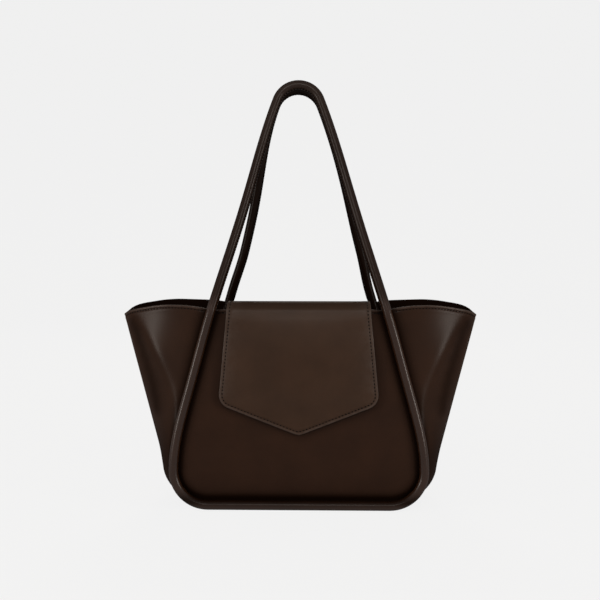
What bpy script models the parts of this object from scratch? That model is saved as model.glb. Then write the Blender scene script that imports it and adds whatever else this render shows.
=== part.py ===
"""Tote bag with pleated wings, a pointed front flap and two rolled handles.

Every sewn piece is a thin closed sheet of its own. The bag stands on the two
rolled tubes that run round its front and rear panels. Each tube carries on above
the rim as a handle loop. Lengths are in metres, +Z is up and -Y is the front.
"""
import math

import bmesh
import bpy
from mathutils import Matrix, Vector

MM = 0.001

# Clearance between pieces that touch
seam_gap = 0.3 * MM

# Rolled tubes
tube_radius = 5.5 * MM
tube_wall = 1.2 * MM
tube_sides = 12
cord_sides = 8

# Outline of the front and rear panels, measured to the tube's centre
rim_height = 233 * MM
rim_depth = 50 * MM
base_depth = 60 * MM
base_half_width = 146 * MM
corner_radius = 40 * MM
front_rim_half_width = 101.5 * MM
rear_rim_half_width = 89.5 * MM
side_flare = 0.31
side_waist = 3.2 * MM
rear_rim_drop = 2 * MM

# Wings: the crease at each end of the bag
wing_tip_half_width = 210.4 * MM
wing_tip_height = 224 * MM
wing_base_half_width = 155.8 * MM
wing_corner_radius = 38 * MM
wing_rim_rise = 3 * MM
front_rim_wave = 1.8 * MM
rear_rim_wave = 4.4 * MM
wave_turn = 0.56
wave_bias = 1.8
start_turn_top = math.radians(8)
start_turn_bottom = math.radians(52)
crease_turn_top = math.radians(35)
wing_fullness = 0.38

# Handle loops
front_handle_height = 500 * MM
rear_handle_height = 495 * MM
handle_lean_gap = 0.4 * MM
front_handle_top_radius = 26.5 * MM
rear_handle_top_radius = 29.5 * MM
handle_waist = 2.4 * MM
handle_top_turn = math.radians(69)

# Sheets
leather = 1.6 * MM
stiffener = 1.0 * MM
lining = 0.8 * MM
board_thickness = 2.0 * MM
facing_height = 30 * MM
lining_depth_inset = 6.2 * MM
lining_edge_inset = 3.8 * MM
facing_end_margin = 2 * MM
facing_end_share = 0.85
crease_inset_top = 11 * MM
stiffener_margin = 3.2 * MM
board_margin = 4 * MM
board_corner_radius = 8 * MM
least_row_gap = 6 * MM
least_row_share = 0.02

# Flap
flap_leather = 1.4 * MM
flap_core = 1.1 * MM
flap_lining = 0.8 * MM
flap_shoulder_radius = 14 * MM
flap_shoulder_height = 229.2 * MM
flap_shoulder_half_width = 83.3 * MM
flap_low_half_width = 93.3 * MM
flap_corner_height = 125 * MM
flap_tip_height = 88.5 * MM
flap_corner_radius = 16 * MM
flap_rear_half_width = 76 * MM
flap_root_height = 30 * MM
flap_seat = 0.4 * MM

# Magnetic snap under the flap
snap_height = 134 * MM
snap_radius = 9 * MM
socket_thickness = 2.2 * MM
socket_bore_radius = 3.2 * MM
socket_bore_depth = 1.6 * MM
stud_plate = 1.2 * MM
stud_radius = 2.8 * MM
stud_length = 1.3 * MM
washer_radius = 8 * MM
washer_bore_radius = 2.5 * MM
washer_thickness = 0.5 * MM

# Slip pocket on the rear lining
pocket_half_width = 70 * MM
pocket_top = 170 * MM
pocket_bottom = 60 * MM

# How finely curved pieces are divided
side_steps = 10
corner_steps = 6
across_steps = 6
handle_steps = 9
handle_arc_steps = 6

FRONT = -1
REAR = 1

# Sizes that follow from the ones above
polygon_radius = tube_radius / math.cos(math.pi / tube_sides)
corner_top = tube_radius + corner_radius
corner_half_width = base_half_width - corner_radius
panel_lean = (base_depth - rim_depth) / (rim_height - tube_radius)
lean_angle = math.atan(panel_lean)
sheet_start = polygon_radius + seam_gap
flap_thickness = flap_leather + flap_core + flap_lining
snap_stack = socket_thickness + stud_plate + 3 * seam_gap
facing_shift = -(leather / 2 + seam_gap + lining / 2)


def clear_scene():
    for item in list(bpy.data.objects):
        bpy.data.objects.remove(item, do_unlink=True)


def finish(name, colour, roughness, metallic=0.0):
    """A plain material with the piece's colour and gloss."""
    made = bpy.data.materials.new(name)
    made.use_nodes = True
    shader = made.node_tree.nodes["Principled BSDF"]
    shader.inputs["Base Color"].default_value = (*colour, 1.0)
    shader.inputs["Roughness"].default_value = roughness
    shader.inputs["Metallic"].default_value = metallic
    return made


def add_piece(name, faces, material, axis=None, smooth=True):
    """Turn (points, faces) into a closed object whose faces point out."""
    points, polygons = faces
    mesh = bpy.data.meshes.new(name)
    mesh.from_pydata([tuple(p) for p in points], [], polygons)
    shape = bmesh.new()
    shape.from_mesh(mesh)
    bmesh.ops.recalc_face_normals(shape, faces=shape.faces)
    shape.to_mesh(mesh)
    shape.free()
    if smooth:
        mesh.shade_smooth()
        mesh.set_sharp_from_angle(angle=math.radians(40))
    mesh.materials.append(material)
    piece = bpy.data.objects.new(name, mesh)
    bpy.context.collection.objects.link(piece)
    if axis is not None:
        piece.parent = axis
        piece.matrix_parent_inverse = Matrix.Translation(-axis.location)
    return piece


def add_axis(name, location):
    axis = bpy.data.objects.new(name, None)
    axis.location = location
    bpy.context.collection.objects.link(axis)
    return axis


def blend(a, b, t):
    return a + (b - a) * t


def bezier(p0, p1, p2, p3, t):
    s = 1 - t
    return p0 * s**3 + p1 * (3 * s * s * t) + p2 * (3 * s * t * t) + p3 * t**3


def hermite(a, b, slope_a, slope_b, t):
    """From a to b, with the given slopes over the whole step."""
    along = 3 * t * t - 2 * t**3
    return blend(a, b, along) + slope_a * (t**3 - 2 * t * t + t) + slope_b * (t**3 - t * t)


# Sheets: a grid of points made solid


def grid_normals(rows):
    """Normal at each grid point, lengthened so that a sheet keeps its thickness."""
    high = len(rows)
    wide = len(rows[0])
    flat = {}
    for i in range(high - 1):
        for j in range(wide - 1):
            along = rows[i + 1][j + 1] - rows[i][j]
            across = rows[i + 1][j] - rows[i][j + 1]
            flat[i, j] = along.cross(across).normalized()
    normals = []
    for i in range(high):
        line = []
        for j in range(wide):
            near = [(i - 1, j - 1), (i - 1, j), (i, j - 1), (i, j)]
            around = [flat[k] for k in near if k in flat]
            mean = sum(around, Vector()).normalized()
            least = min(mean.dot(n) for n in around)
            line.append(mean / max(least, 0.45))
        normals.append(line)
    return normals


def offset_rows(rows, distance):
    """The grid moved away from the bag's middle, or towards it if negative."""
    middle = Vector((0, 0, rim_height / 2))
    normals = grid_normals(rows)
    centre_row = len(rows) // 2
    centre_column = len(rows[0]) // 2
    probe = normals[centre_row][centre_column]
    outward = probe.dot(rows[centre_row][centre_column] - middle)
    sign = 1 if outward > 0 else -1
    return [
        [p + n * (distance * sign) for p, n in zip(line, normal_line)]
        for line, normal_line in zip(rows, normals)
    ]


def solid_between(face_a, face_b):
    """A closed solid between two grids of the same size."""
    high = len(face_a)
    wide = len(face_a[0])
    points = [p for line in face_a for p in line] + [p for line in face_b for p in line]
    shift = high * wide

    def at(i, j):
        return i * wide + j

    faces = []
    for i in range(high - 1):
        for j in range(wide - 1):
            quad = (at(i, j), at(i + 1, j), at(i + 1, j + 1), at(i, j + 1))
            faces.append(quad)
            faces.append(tuple(k + shift for k in reversed(quad)))
    edge = [at(0, j) for j in range(wide)]
    edge += [at(i, wide - 1) for i in range(1, high)]
    edge += [at(high - 1, j) for j in range(wide - 2, -1, -1)]
    edge += [at(i, 0) for i in range(high - 2, 0, -1)]
    for k, here in enumerate(edge):
        after = edge[(k + 1) % len(edge)]
        faces.append((here, after, after + shift, here + shift))
    return points, faces


def sheet(rows, thickness, shift=0.0):
    outer = offset_rows(rows, shift + thickness / 2)
    inner = offset_rows(rows, shift - thickness / 2)
    return solid_between(outer, inner)


# Tubes: rings swept along a path that lies in one plane


def tube_rings(path, plane_normal, radius, sides, flat_ends):
    """Rings of a polygon whose flat sides lie at the radius, ends cut level if asked."""
    reach = radius / math.cos(math.pi / sides)
    rings = []
    last = len(path) - 1
    for k, centre in enumerate(path):
        tangent = (path[min(k + 1, last)] - path[max(k - 1, 0)]).normalized()
        side = plane_normal.cross(tangent).normalized()
        ring = []
        for step in range(sides):
            angle = 2 * math.pi * (step + 0.5) / sides
            point = centre + (side * math.cos(angle) + plane_normal * math.sin(angle)) * reach
            if flat_ends and k in (0, last):
                point = point + tangent * ((centre.z - point.z) / tangent.z)
            ring.append(point)
        rings.append(ring)
    return rings


def solid_tube(path, plane_normal, radius, sides):
    rings = tube_rings(path, plane_normal, radius, sides, True)
    points = [p for ring in rings for p in ring]
    faces = [tuple(range(sides))]
    faces.append(tuple((len(rings) - 1) * sides + k for k in reversed(range(sides))))
    for i in range(len(rings) - 1):
        for j in range(sides):
            k = (j + 1) % sides
            faces.append((i * sides + j, i * sides + k, (i + 1) * sides + k, (i + 1) * sides + j))
    return points, faces


def hollow_tube(path, plane_normal, radius, wall, sides):
    """A sleeve that is open at both ends."""
    outer = tube_rings(path, plane_normal, radius, sides, True)
    inner = tube_rings(path, plane_normal, radius - wall, sides, True)
    shift = len(outer) * sides
    points = [p for ring in outer + inner for p in ring]
    faces = []
    for i in range(len(outer) - 1):
        for j in range(sides):
            k = (j + 1) % sides
            quad = (i * sides + j, i * sides + k, (i + 1) * sides + k, (i + 1) * sides + j)
            faces.append(quad)
            faces.append(tuple(n + shift for n in reversed(quad)))
    for i in (0, len(outer) - 1):
        for j in range(sides):
            here = i * sides + j
            after = i * sides + (j + 1) % sides
            faces.append((here, after, after + shift, here + shift))
    return points, faces


# The outline that each rolled tube follows


def rim_half_width(face):
    return front_rim_half_width if face == FRONT else rear_rim_half_width


def rim_top(face):
    return rim_height if face == FRONT else rim_height - rear_rim_drop


def on_face(face, x, z, shift=0.0):
    """A point on the front or rear face, moved out from the tube's plane by shift."""
    depth = rim_depth + (rim_height - z) * panel_lean
    return Vector((x, face * (depth + shift), z))


def side_half_width(face, z):
    """Half the spacing of the tube's centres at a height above its corners."""
    drop = rim_height - corner_top
    t = (rim_height - z) / drop
    start = rim_half_width(face)
    curve = hermite(start, base_half_width, side_flare * drop, 0.0, t)
    return curve - side_waist * math.sin(math.pi * t) ** 2


def outline_point(face, part, t):
    """Point and outward direction on the right half, from the rim to the middle."""
    if part == "side":
        z = blend(rim_height, corner_top, t)
        x = side_half_width(face, z)
        step = 1 * MM
        slope = (side_half_width(face, z - step) - x) / step
        return x, z, Vector((1, 0, slope)).normalized()
    if part == "corner":
        turn = t * math.pi / 2
        out = Vector((math.cos(turn), 0, -math.sin(turn)))
        x = corner_half_width + corner_radius * out.x
        z = corner_top + corner_radius * out.z
        return x, z, out
    return corner_half_width * (1 - t), tube_radius, Vector((0, 0, -1))


def stations():
    """(part, t) from the rim down the side and round the corner."""
    found = [("side", k / side_steps) for k in range(side_steps)]
    found += [("corner", k / corner_steps) for k in range(corner_steps + 1)]
    return found


def run_path(face):
    """Centre line of the fixed tube, from the left rim round to the right rim."""
    half = []
    for part, t in stations():
        x, z, _ = outline_point(face, part, t)
        half.append(on_face(face, x, z))
    half[0] = on_face(face, rim_half_width(face), rim_height - seam_gap / 2)
    left = [Vector((-p.x, p.y, p.z)) for p in half]
    middle = on_face(face, 0, tube_radius)
    return left + [middle] + half[::-1]


def face_normal(face):
    """Level direction out of a face, which keeps the tube's lowest flat level."""
    return Vector((0, face, 0))


def handle_path(face):
    """Centre line of a handle loop, from the left rim over the top to the right rim."""
    height = front_handle_height if face == FRONT else rear_handle_height
    radius = front_handle_top_radius if face == FRONT else rear_handle_top_radius
    top = height - tube_radius
    foot = rim_height + seam_gap / 2
    arc_end_x = radius * math.sin(handle_top_turn)
    arc_end_z = top - radius * (1 - math.cos(handle_top_turn))
    drop = arc_end_z - foot
    start_slope = drop / math.tan(handle_top_turn)
    half = []
    for k in range(handle_arc_steps + 1):
        turn = handle_top_turn * k / handle_arc_steps
        half.append((radius * math.sin(turn), top - radius * (1 - math.cos(turn))))
    for k in range(1, handle_steps + 1):
        t = k / handle_steps
        x = hermite(arc_end_x, rim_half_width(face), start_slope, side_flare * drop, t)
        x -= handle_waist * math.sin(math.pi * t) ** 2
        half.append((x, blend(arc_end_z, foot, t)))
    top_depth = tube_radius + handle_lean_gap / 2
    right = []
    for x, z in half:
        depth = blend(rim_depth, top_depth, (z - foot) / (top - foot))
        right.append(Vector((x, face * depth, z)))
    left = [Vector((-p.x, p.y, p.z)) for p in right[:0:-1]]
    return left + right


def handle_normal(path):
    """Normal of the plane that a handle loop lies in."""
    top = path[len(path) // 2]
    across = path[-1] - path[0]
    up = top - path[0]
    return up.cross(across).normalized()


def add_tubes(leather_finish, cord_finish, axes):
    for face, name in ((FRONT, "front"), (REAR, "rear")):
        cord_radius = tube_radius - tube_wall - seam_gap
        path = run_path(face)
        normal = face_normal(face)
        sleeve = hollow_tube(path, normal, tube_radius, tube_wall, tube_sides)
        add_piece(f"{name}_tube_sleeve", sleeve, leather_finish)
        cord = solid_tube(path, normal, cord_radius, cord_sides)
        add_piece(f"{name}_tube_cord", cord, cord_finish)
        path = handle_path(face)
        normal = handle_normal(path)
        sleeve = hollow_tube(path, normal, tube_radius, tube_wall, tube_sides)
        add_piece(f"{name}_handle_sleeve", sleeve, leather_finish, axes[face])
        cord = solid_tube(path, normal, cord_radius, cord_sides)
        add_piece(f"{name}_handle_cord", cord, cord_finish, axes[face])


# Panels between the two sides of a tube


def panel_edge(face, inset, top):
    """Right edge of a flat panel, from its top down to its bottom corner."""
    slope_cos = math.cos(math.atan(side_flare))
    edge = [(side_half_width(face, top) - inset / slope_cos, top)]
    for part, t in stations():
        x, z, out = outline_point(face, part, t)
        x -= out.x * inset
        z -= out.z * inset
        if z < top - least_row_gap:
            edge.append((x, z))
    return edge


def panel_columns():
    return [-1 + 2 * k / 8 for k in range(9)]


def panel_rows(face, inset, top, shift, top_rise=0.0):
    """Rows across a panel, from its top edge down. The middle of the top rises by top_rise."""
    rows = []
    for k, (x, z) in enumerate(panel_edge(face, inset, top)):
        rise = top_rise if k == 0 else 0.0
        line = [on_face(face, x * u, z + rise * (1 - u * u), shift) for u in panel_columns()]
        rows.append(line)
    return rows


def slab(face, inset, top, near, far, top_rise=0.0):
    """A flat panel between two depths, counted outwards from the tube's plane."""
    return solid_between(
        panel_rows(face, inset, top, near, top_rise),
        panel_rows(face, inset, top, far, top_rise),
    )


def front_rim_rise():
    """How far the middle of the front rim rises to carry the flap's shoulder."""
    inner_radius = flap_shoulder_radius - flap_thickness
    centre_y, centre_z = shoulder_centre()
    reach = abs(centre_y - -(rim_depth + leather / 2))
    crown = centre_z + math.sqrt(inner_radius**2 - reach**2)
    return crown - flap_seat - rim_height


def facing_rows(face):
    """A strip inside the rim that leads from the leather's edge in to the lining."""
    rise = front_rim_rise() if face == FRONT else 0.0
    top = rim_top(face)
    x_top, z_top = panel_edge(face, sheet_start + seam_gap, top)[0]
    low_inset = lining_edge_inset + facing_end_margin
    x_low, z_low = panel_edge(face, low_inset, top - facing_height)[0]
    rows = []
    for t in (0.0, 0.5, 1.0):
        x = blend(x_top, x_low, t)
        z = blend(z_top, z_low, t)
        depth = blend(facing_shift, -lining_depth_inset, t)
        lift = rise * (1 - t)
        line = [on_face(face, x * u, z + lift * (1 - u * u), depth) for u in panel_columns()]
        rows.append(line)
    return rows


def add_panels(leather_finish, lining_finish, board_finish):
    half = leather / 2
    for face, name in ((FRONT, "front"), (REAR, "rear")):
        rise = front_rim_rise() if face == FRONT else 0.0
        top = rim_top(face)
        add_piece(f"{name}_panel", slab(face, sheet_start, top, half, -half, rise), leather_finish)
        near = -half - seam_gap
        inset = sheet_start + stiffener_margin
        low_top = top - facing_height - seam_gap
        board = slab(face, inset, low_top, near, near - stiffener)
        add_piece(f"{name}_stiffener", board, board_finish)
        add_piece(f"{name}_facing", sheet(facing_rows(face), lining), leather_finish)
        near = -lining_depth_inset + lining / 2
        inner = slab(face, lining_edge_inset, low_top - lining, near, near - lining)
        add_piece(f"{name}_lining", inner, lining_finish)


# Wings and base: strips between the two tubes


def crease_point(part, t):
    """Middle line of the strip at y = 0, with its outward direction."""
    lean = math.atan2(wing_tip_half_width - wing_base_half_width, wing_tip_height - tube_radius)
    turn = math.pi / 2 - lean
    reach = wing_corner_radius * math.tan(turn / 2)
    start_x = wing_base_half_width + reach * math.sin(lean)
    start_z = tube_radius + reach * math.cos(lean)
    end_x = wing_base_half_width - reach
    if part == "side":
        x = blend(wing_tip_half_width, start_x, t)
        z = blend(wing_tip_height, start_z, t)
        return Vector((x, 0, z)), Vector((math.cos(lean), 0, -math.sin(lean)))
    if part == "corner":
        angle = lean + turn * t
        out = Vector((math.cos(angle), 0, -math.sin(angle)))
        centre = Vector((end_x, 0, tube_radius + wing_corner_radius))
        return centre + out * wing_corner_radius, out
    x = blend(end_x, 0, t)
    return Vector((x, 0, tube_radius)), Vector((0, 0, -1))


def rim_lift(face, u):
    """How far a wing's rim leaves its plain curve: low near the tube, high near the crease."""
    wave = front_rim_wave if face == FRONT else rear_rim_wave
    if u < wave_turn:
        turn = u / wave_turn
    else:
        turn = 1 + ((u - wave_turn) / (1 - wave_turn)) ** wave_bias
    return wing_rim_rise * math.sin(math.pi * u) - wave * math.sin(math.pi * turn)


def half_section(face, part, t, is_lining, steps):
    """One half of the strip's cross-section, from the tube to the crease."""
    x, z, out = outline_point(face, part, t)
    fall = {"side": t, "corner": 1.0, "bottom": 1.0}[part]
    if part == "corner":
        start_turn = blend(start_turn_bottom, math.pi / 2, t)
    elif part == "side":
        start_turn = blend(start_turn_top, start_turn_bottom, fall)
    else:
        start_turn = math.pi / 2
    crease_turn = blend(crease_turn_top, math.pi / 2, fall)
    inward = Vector((0, -face, 0))
    start = on_face(face, x, z)
    leave = out * math.cos(start_turn) + inward * math.sin(start_turn)
    crease, crease_out = crease_point(part, t)
    if is_lining:
        start = start + inward * lining_depth_inset - out * lining_edge_inset
        start = start + leave * (lining / 2 + seam_gap)
        crease = crease - crease_out * blend(crease_inset_top, lining_edge_inset, fall)
    else:
        start = start + leave * sheet_start
    reach = (crease - start).length * wing_fullness
    arrive = crease_out * math.cos(crease_turn) + inward * math.sin(crease_turn)
    line = []
    for k in range(steps + 1):
        u = k / steps
        point = bezier(start, start + leave * reach, crease - arrive * reach, crease, u)
        point.z += rim_lift(face, u) * (1 - fall)
        line.append(point)
    return line


def strip_rows(side, where, is_lining=False):
    """Rows of a strip from the front tube to the rear one, side is 1 or -1."""
    rows = []
    for part, t in where:
        front = half_section(FRONT, part, t, is_lining, across_steps)
        rear = half_section(REAR, part, t, is_lining, across_steps)
        row = front + rear[-2::-1]
        rows.append([Vector((side * p.x, p.y, p.z)) for p in row])
    return rows


def facing_share():
    return (facing_height + 2 * seam_gap) / (rim_height - corner_top)


def wing_facing_rows(side):
    """Strip inside the wing's rim, from the leather's edge in to the lining."""
    share = facing_share()
    skin = strip_rows(side, [("side", 0.0), ("side", share)])
    top = offset_rows(skin, facing_shift)[0]
    low = strip_rows(side, [("side", share - seam_gap / rim_height)], True)[0]
    last = len(top) - 1
    clear = polygon_radius + lining
    for k, face in ((0, FRONT), (last, REAR)):
        inward = Vector((0, -face, 0))
        top[k] = top[k] + Vector((side, 0, 0)) * seam_gap * 2
        x, z, out = outline_point(face, "side", share)
        out = Vector((side * out.x, 0, out.z))
        base = on_face(face, side * x, z)
        low[k] = base + out * clear * facing_end_share + inward * lining_depth_inset
    return [top, [blend(a, b, 0.5) for a, b in zip(top, low)], low]


def add_wings(leather_finish, lining_finish):
    share = facing_share()
    skin_stations = stations()
    inner_stations = [("side", share)]
    lowest = share + least_row_share
    inner_stations += [s for s in stations() if s[0] != "side" or s[1] > lowest]
    for side, name in ((-1, "left"), (1, "right")):
        add_piece(f"{name}_wing", sheet(strip_rows(side, skin_stations), leather), leather_finish)
        facing = wing_facing_rows(side)
        add_piece(f"{name}_wing_facing", sheet(facing, lining), leather_finish)
        inner = strip_rows(side, inner_stations, True)
        add_piece(f"{name}_wing_lining", sheet(inner, lining), lining_finish)


def trimmed(rows, margin):
    """The same rows with their ends drawn in along X by a margin."""
    for line in (rows[0], rows[-1]):
        for p in line:
            p.x -= math.copysign(margin, p.x)
    return rows


def base_rows(is_lining):
    """The strip under the bag: one row at each rounded corner, drawn in by a gap."""
    right = strip_rows(1, [("bottom", 0.0)], is_lining)
    left = strip_rows(-1, [("bottom", 0.0)], is_lining)
    return trimmed(right + left, seam_gap)


def add_base(leather_finish, lining_finish, board_finish):
    add_piece("base_panel", sheet(base_rows(False), leather), leather_finish)
    add_piece("base_lining", sheet(base_rows(True), lining), lining_finish)
    half_x = corner_half_width - board_margin
    half_y = base_depth - sheet_start - board_margin
    bottom = tube_radius + leather / 2 + seam_gap
    corner = board_corner_radius
    outline = []
    for sx, sy in ((1, 1), (-1, 1), (-1, -1), (1, -1)):
        start = math.atan2(sy, sx) - math.pi / 4
        for k in range(5):
            angle = start + math.pi / 2 * k / 4
            x = sx * (half_x - corner) + corner * math.cos(angle)
            y = sy * (half_y - corner) + corner * math.sin(angle)
            outline.append((x, y))
    count = len(outline)
    points = [Vector((x, y, bottom)) for x, y in outline]
    points += [Vector((x, y, bottom + board_thickness)) for x, y in outline]
    faces = [tuple(reversed(range(count))), tuple(range(count, 2 * count))]
    for k in range(count):
        after = (k + 1) % count
        faces.append((k, after, after + count, k + count))
    add_piece("base_board", (points, faces), board_finish, smooth=False)


# Flap: root on the rear panel, bridge over the mouth and front drop


def shoulder_centre():
    """Centre (y, z) of the bend where the flap turns down over the front rim."""
    z = flap_shoulder_height
    depth = rim_depth + (rim_height - z) * panel_lean
    outer = depth + leather / 2 + snap_stack + flap_thickness
    return -(outer - flap_shoulder_radius), z


def rear_bend():
    """Centre (y, z) and outer radius of the bend over the rear rim."""
    outer = rim_depth + leather / 2 + seam_gap + flap_leather
    radius = flap_leather + leather / 2 + seam_gap
    return outer - radius, rim_top(REAR), radius


def tangent_turn():
    """Climb angle of the line that leaves the rear bend and meets the shoulder."""
    front_y, front_z = shoulder_centre()
    rear_y, rear_z, rear_radius = rear_bend()
    span = math.hypot(rear_y - front_y, front_z - rear_z)
    slope = math.atan2(front_z - rear_z, rear_y - front_y)
    return slope + math.asin((flap_shoulder_radius - rear_radius) / span)


def flap_point(y, z, ny, nz):
    return Vector((0, y, z)), Vector((0, ny, nz))


def bridge_profile():
    """Outer face of the bridge from the rear hinge to the front one."""
    front_y, front_z = shoulder_centre()
    rear_y, rear_z, rear_radius = rear_bend()
    climb = tangent_turn()
    found = [flap_point(rear_y + rear_radius, flap_root_top() + seam_gap, 1, 0)]
    for k in range(5):
        angle = blend(0, math.pi / 2 - climb, k / 4)
        c = math.cos(angle)
        s = math.sin(angle)
        found.append(flap_point(rear_y + rear_radius * c, rear_z + rear_radius * s, c, s))
    for k in range(7):
        angle = blend(math.pi / 2 - climb, math.pi, k / 6)
        c = math.cos(angle)
        s = math.sin(angle)
        y = front_y + flap_shoulder_radius * c
        z = front_z + flap_shoulder_radius * s
        found.append(flap_point(y, z, c, s))
    return found


def flap_root_top():
    return rim_top(REAR) - 2 * MM


def bridge_rows(depth, past_bend=False):
    """Rows across the bridge at a depth under its outer face."""
    profile = bridge_profile()
    if past_bend:
        profile = profile[5:]
        (here, normal), (ahead, _) = profile[0], profile[1]
        clear = leather / 2 + 2 * seam_gap + lining + flap_thickness
        profile[0] = (here + (ahead - here).normalized() * clear, normal)
    spans = [0.0]
    for a, b in zip(profile, profile[1:]):
        spans.append(spans[-1] + (b[0] - a[0]).length)
    rows = []
    for (point, normal), span in zip(profile, spans):
        half = blend(flap_rear_half_width, flap_shoulder_half_width, span / spans[-1])
        middle = point - normal * depth
        rows.append([middle + Vector((half * u, 0, 0)) for u in (-1, -0.5, 0, 0.5, 1)])
    return rows


def drop_outline():
    """Lower edge of the flap's front, as (x, z) from its left side to its right."""
    side = Vector((-(flap_low_half_width - flap_shoulder_half_width), 0,
                   flap_corner_height - flap_shoulder_height)).normalized()
    corner = Vector((-flap_low_half_width, 0, flap_corner_height))
    tip = Vector((0, 0, flap_tip_height))
    low = (tip - corner).normalized()
    turn = side.angle(low)
    reach = flap_corner_radius * math.tan(turn / 2)
    start = corner - side * reach
    centre = start + Vector((-side.z, 0, side.x)) * flap_corner_radius
    points = []
    first = math.atan2(start.z - centre.z, start.x - centre.x)
    for k in range(7):
        angle = first + turn * k / 6
        x = centre.x + flap_corner_radius * math.cos(angle)
        z = centre.z + flap_corner_radius * math.sin(angle)
        points.append((x, z))
    x, z = points[-1]
    for k in (1, 2):
        points.append((blend(x, tip.x, k / 3), blend(z, tip.z, k / 3)))
    points.append((tip.x, tip.z))
    return points + [(-x, z) for x, z in points[-2::-1]]


def drop_rows(depth):
    """Two rows that span the flap's front at a depth under its outer face."""
    outer = leather / 2 + snap_stack + flap_thickness
    edge = drop_outline()
    wide = -edge[0][0]
    top = flap_shoulder_height - seam_gap
    half = flap_shoulder_half_width
    upper = [on_face(FRONT, x / wide * half, top, outer - depth) for x, _ in edge]
    lower = [on_face(FRONT, x, z, outer - depth) for x, z in edge]
    return [upper, lower]


def add_flap(leather_finish, lining_finish, bridge_axis, drop_axis):
    root_bottom = rim_top(REAR) - flap_root_height
    near = leather / 2 + seam_gap
    root = []
    for shift in (near, near + flap_leather):
        rows = []
        for z, half in ((flap_root_top(), flap_rear_half_width), (root_bottom, flap_rear_half_width)):
            columns = (-1, -0.5, 0, 0.5, 1)
            rows.append([on_face(REAR, half * u, z, shift) for u in columns])
        root.append(rows)
    add_piece("flap_root", solid_between(*root), leather_finish)
    under = flap_leather + flap_core
    skin = solid_between(bridge_rows(0), bridge_rows(flap_leather))
    add_piece("flap_bridge_leather", skin, leather_finish, bridge_axis)
    back = solid_between(bridge_rows(under, True), bridge_rows(flap_thickness, True))
    add_piece("flap_bridge_lining", back, lining_finish, bridge_axis)
    skin = solid_between(drop_rows(0), drop_rows(flap_leather))
    add_piece("flap_drop_leather", skin, leather_finish, drop_axis)
    back = solid_between(drop_rows(under), drop_rows(flap_thickness))
    add_piece("flap_drop_lining", back, lining_finish, drop_axis)


# Round pieces: the magnetic snap


def turned(profile, place, steps=24):
    """Spin (radius, height) pairs about the axis of a placing matrix."""
    points = []
    rings = []
    for radius, height in profile:
        if radius == 0:
            rings.append([len(points)])
            points.append(place @ Vector((0, 0, height)))
            continue
        ring = []
        for k in range(steps):
            angle = 2 * math.pi * k / steps
            ring.append(len(points))
            spot = Vector((radius * math.cos(angle), radius * math.sin(angle), height))
            points.append(place @ spot)
        rings.append(ring)
    closed = profile[0][0] > 0
    pairs = list(zip(rings, rings[1:]))
    if closed:
        pairs.append((rings[-1], rings[0]))
    faces = []
    for a, b in pairs:
        for k in range(steps):
            after = (k + 1) % steps
            if len(a) == 1:
                faces.append((a[0], b[k], b[after]))
            elif len(b) == 1:
                faces.append((a[k], b[0], a[after]))
            else:
                faces.append((a[k], b[k], b[after], a[after]))
    return points, faces


def snap_place(shift):
    """Places a turned piece on the front face, its axis pointing out."""
    turn = Matrix.Rotation(math.pi / 2 - lean_angle, 4, "X")
    return Matrix.Translation(on_face(FRONT, 0, snap_height, shift)) @ turn


def washer(thickness):
    return [
        (washer_bore_radius, 0),
        (washer_radius, 0),
        (washer_radius, thickness),
        (washer_bore_radius, thickness),
    ]


def add_snap(metal, drop_axis):
    top = socket_thickness
    edge = 0.4 * MM
    socket = [
        (0, 0),
        (snap_radius, 0),
        (snap_radius, top - edge),
        (snap_radius - edge, top),
        (socket_bore_radius, top),
        (socket_bore_radius, top - socket_bore_depth),
        (0, top - socket_bore_depth),
    ]
    on_leather = leather / 2 + seam_gap
    add_piece("snap_socket", turned(socket, snap_place(on_leather)), metal)
    behind = -(leather / 2 + 2 * seam_gap + stiffener + washer_thickness)
    add_piece("snap_socket_washer", turned(washer(washer_thickness), snap_place(behind)), metal)
    stud = [
        (0, -stud_length),
        (stud_radius - edge, -stud_length),
        (stud_radius, -stud_length + edge),
        (stud_radius, 0),
        (snap_radius, 0),
        (snap_radius, stud_plate),
        (0, stud_plate),
    ]
    on_socket = on_leather + socket_thickness + seam_gap
    add_piece("snap_stud", turned(stud, snap_place(on_socket)), metal, drop_axis)
    inside = leather / 2 + snap_stack + flap_lining + seam_gap
    spare = turned(washer(washer_thickness), snap_place(inside))
    add_piece("snap_stud_washer", spare, metal, drop_axis)


def add_pocket(lining_finish):
    near = -(lining_depth_inset + lining / 2 + seam_gap)
    faces = []
    for shift in (near, near - lining):
        rows = []
        for z in (pocket_top, pocket_bottom):
            rows.append([on_face(REAR, x, z, shift) for x in (-pocket_half_width, pocket_half_width)])
        faces.append(rows)
    add_piece("slip_pocket", solid_between(*faces), lining_finish)


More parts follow.
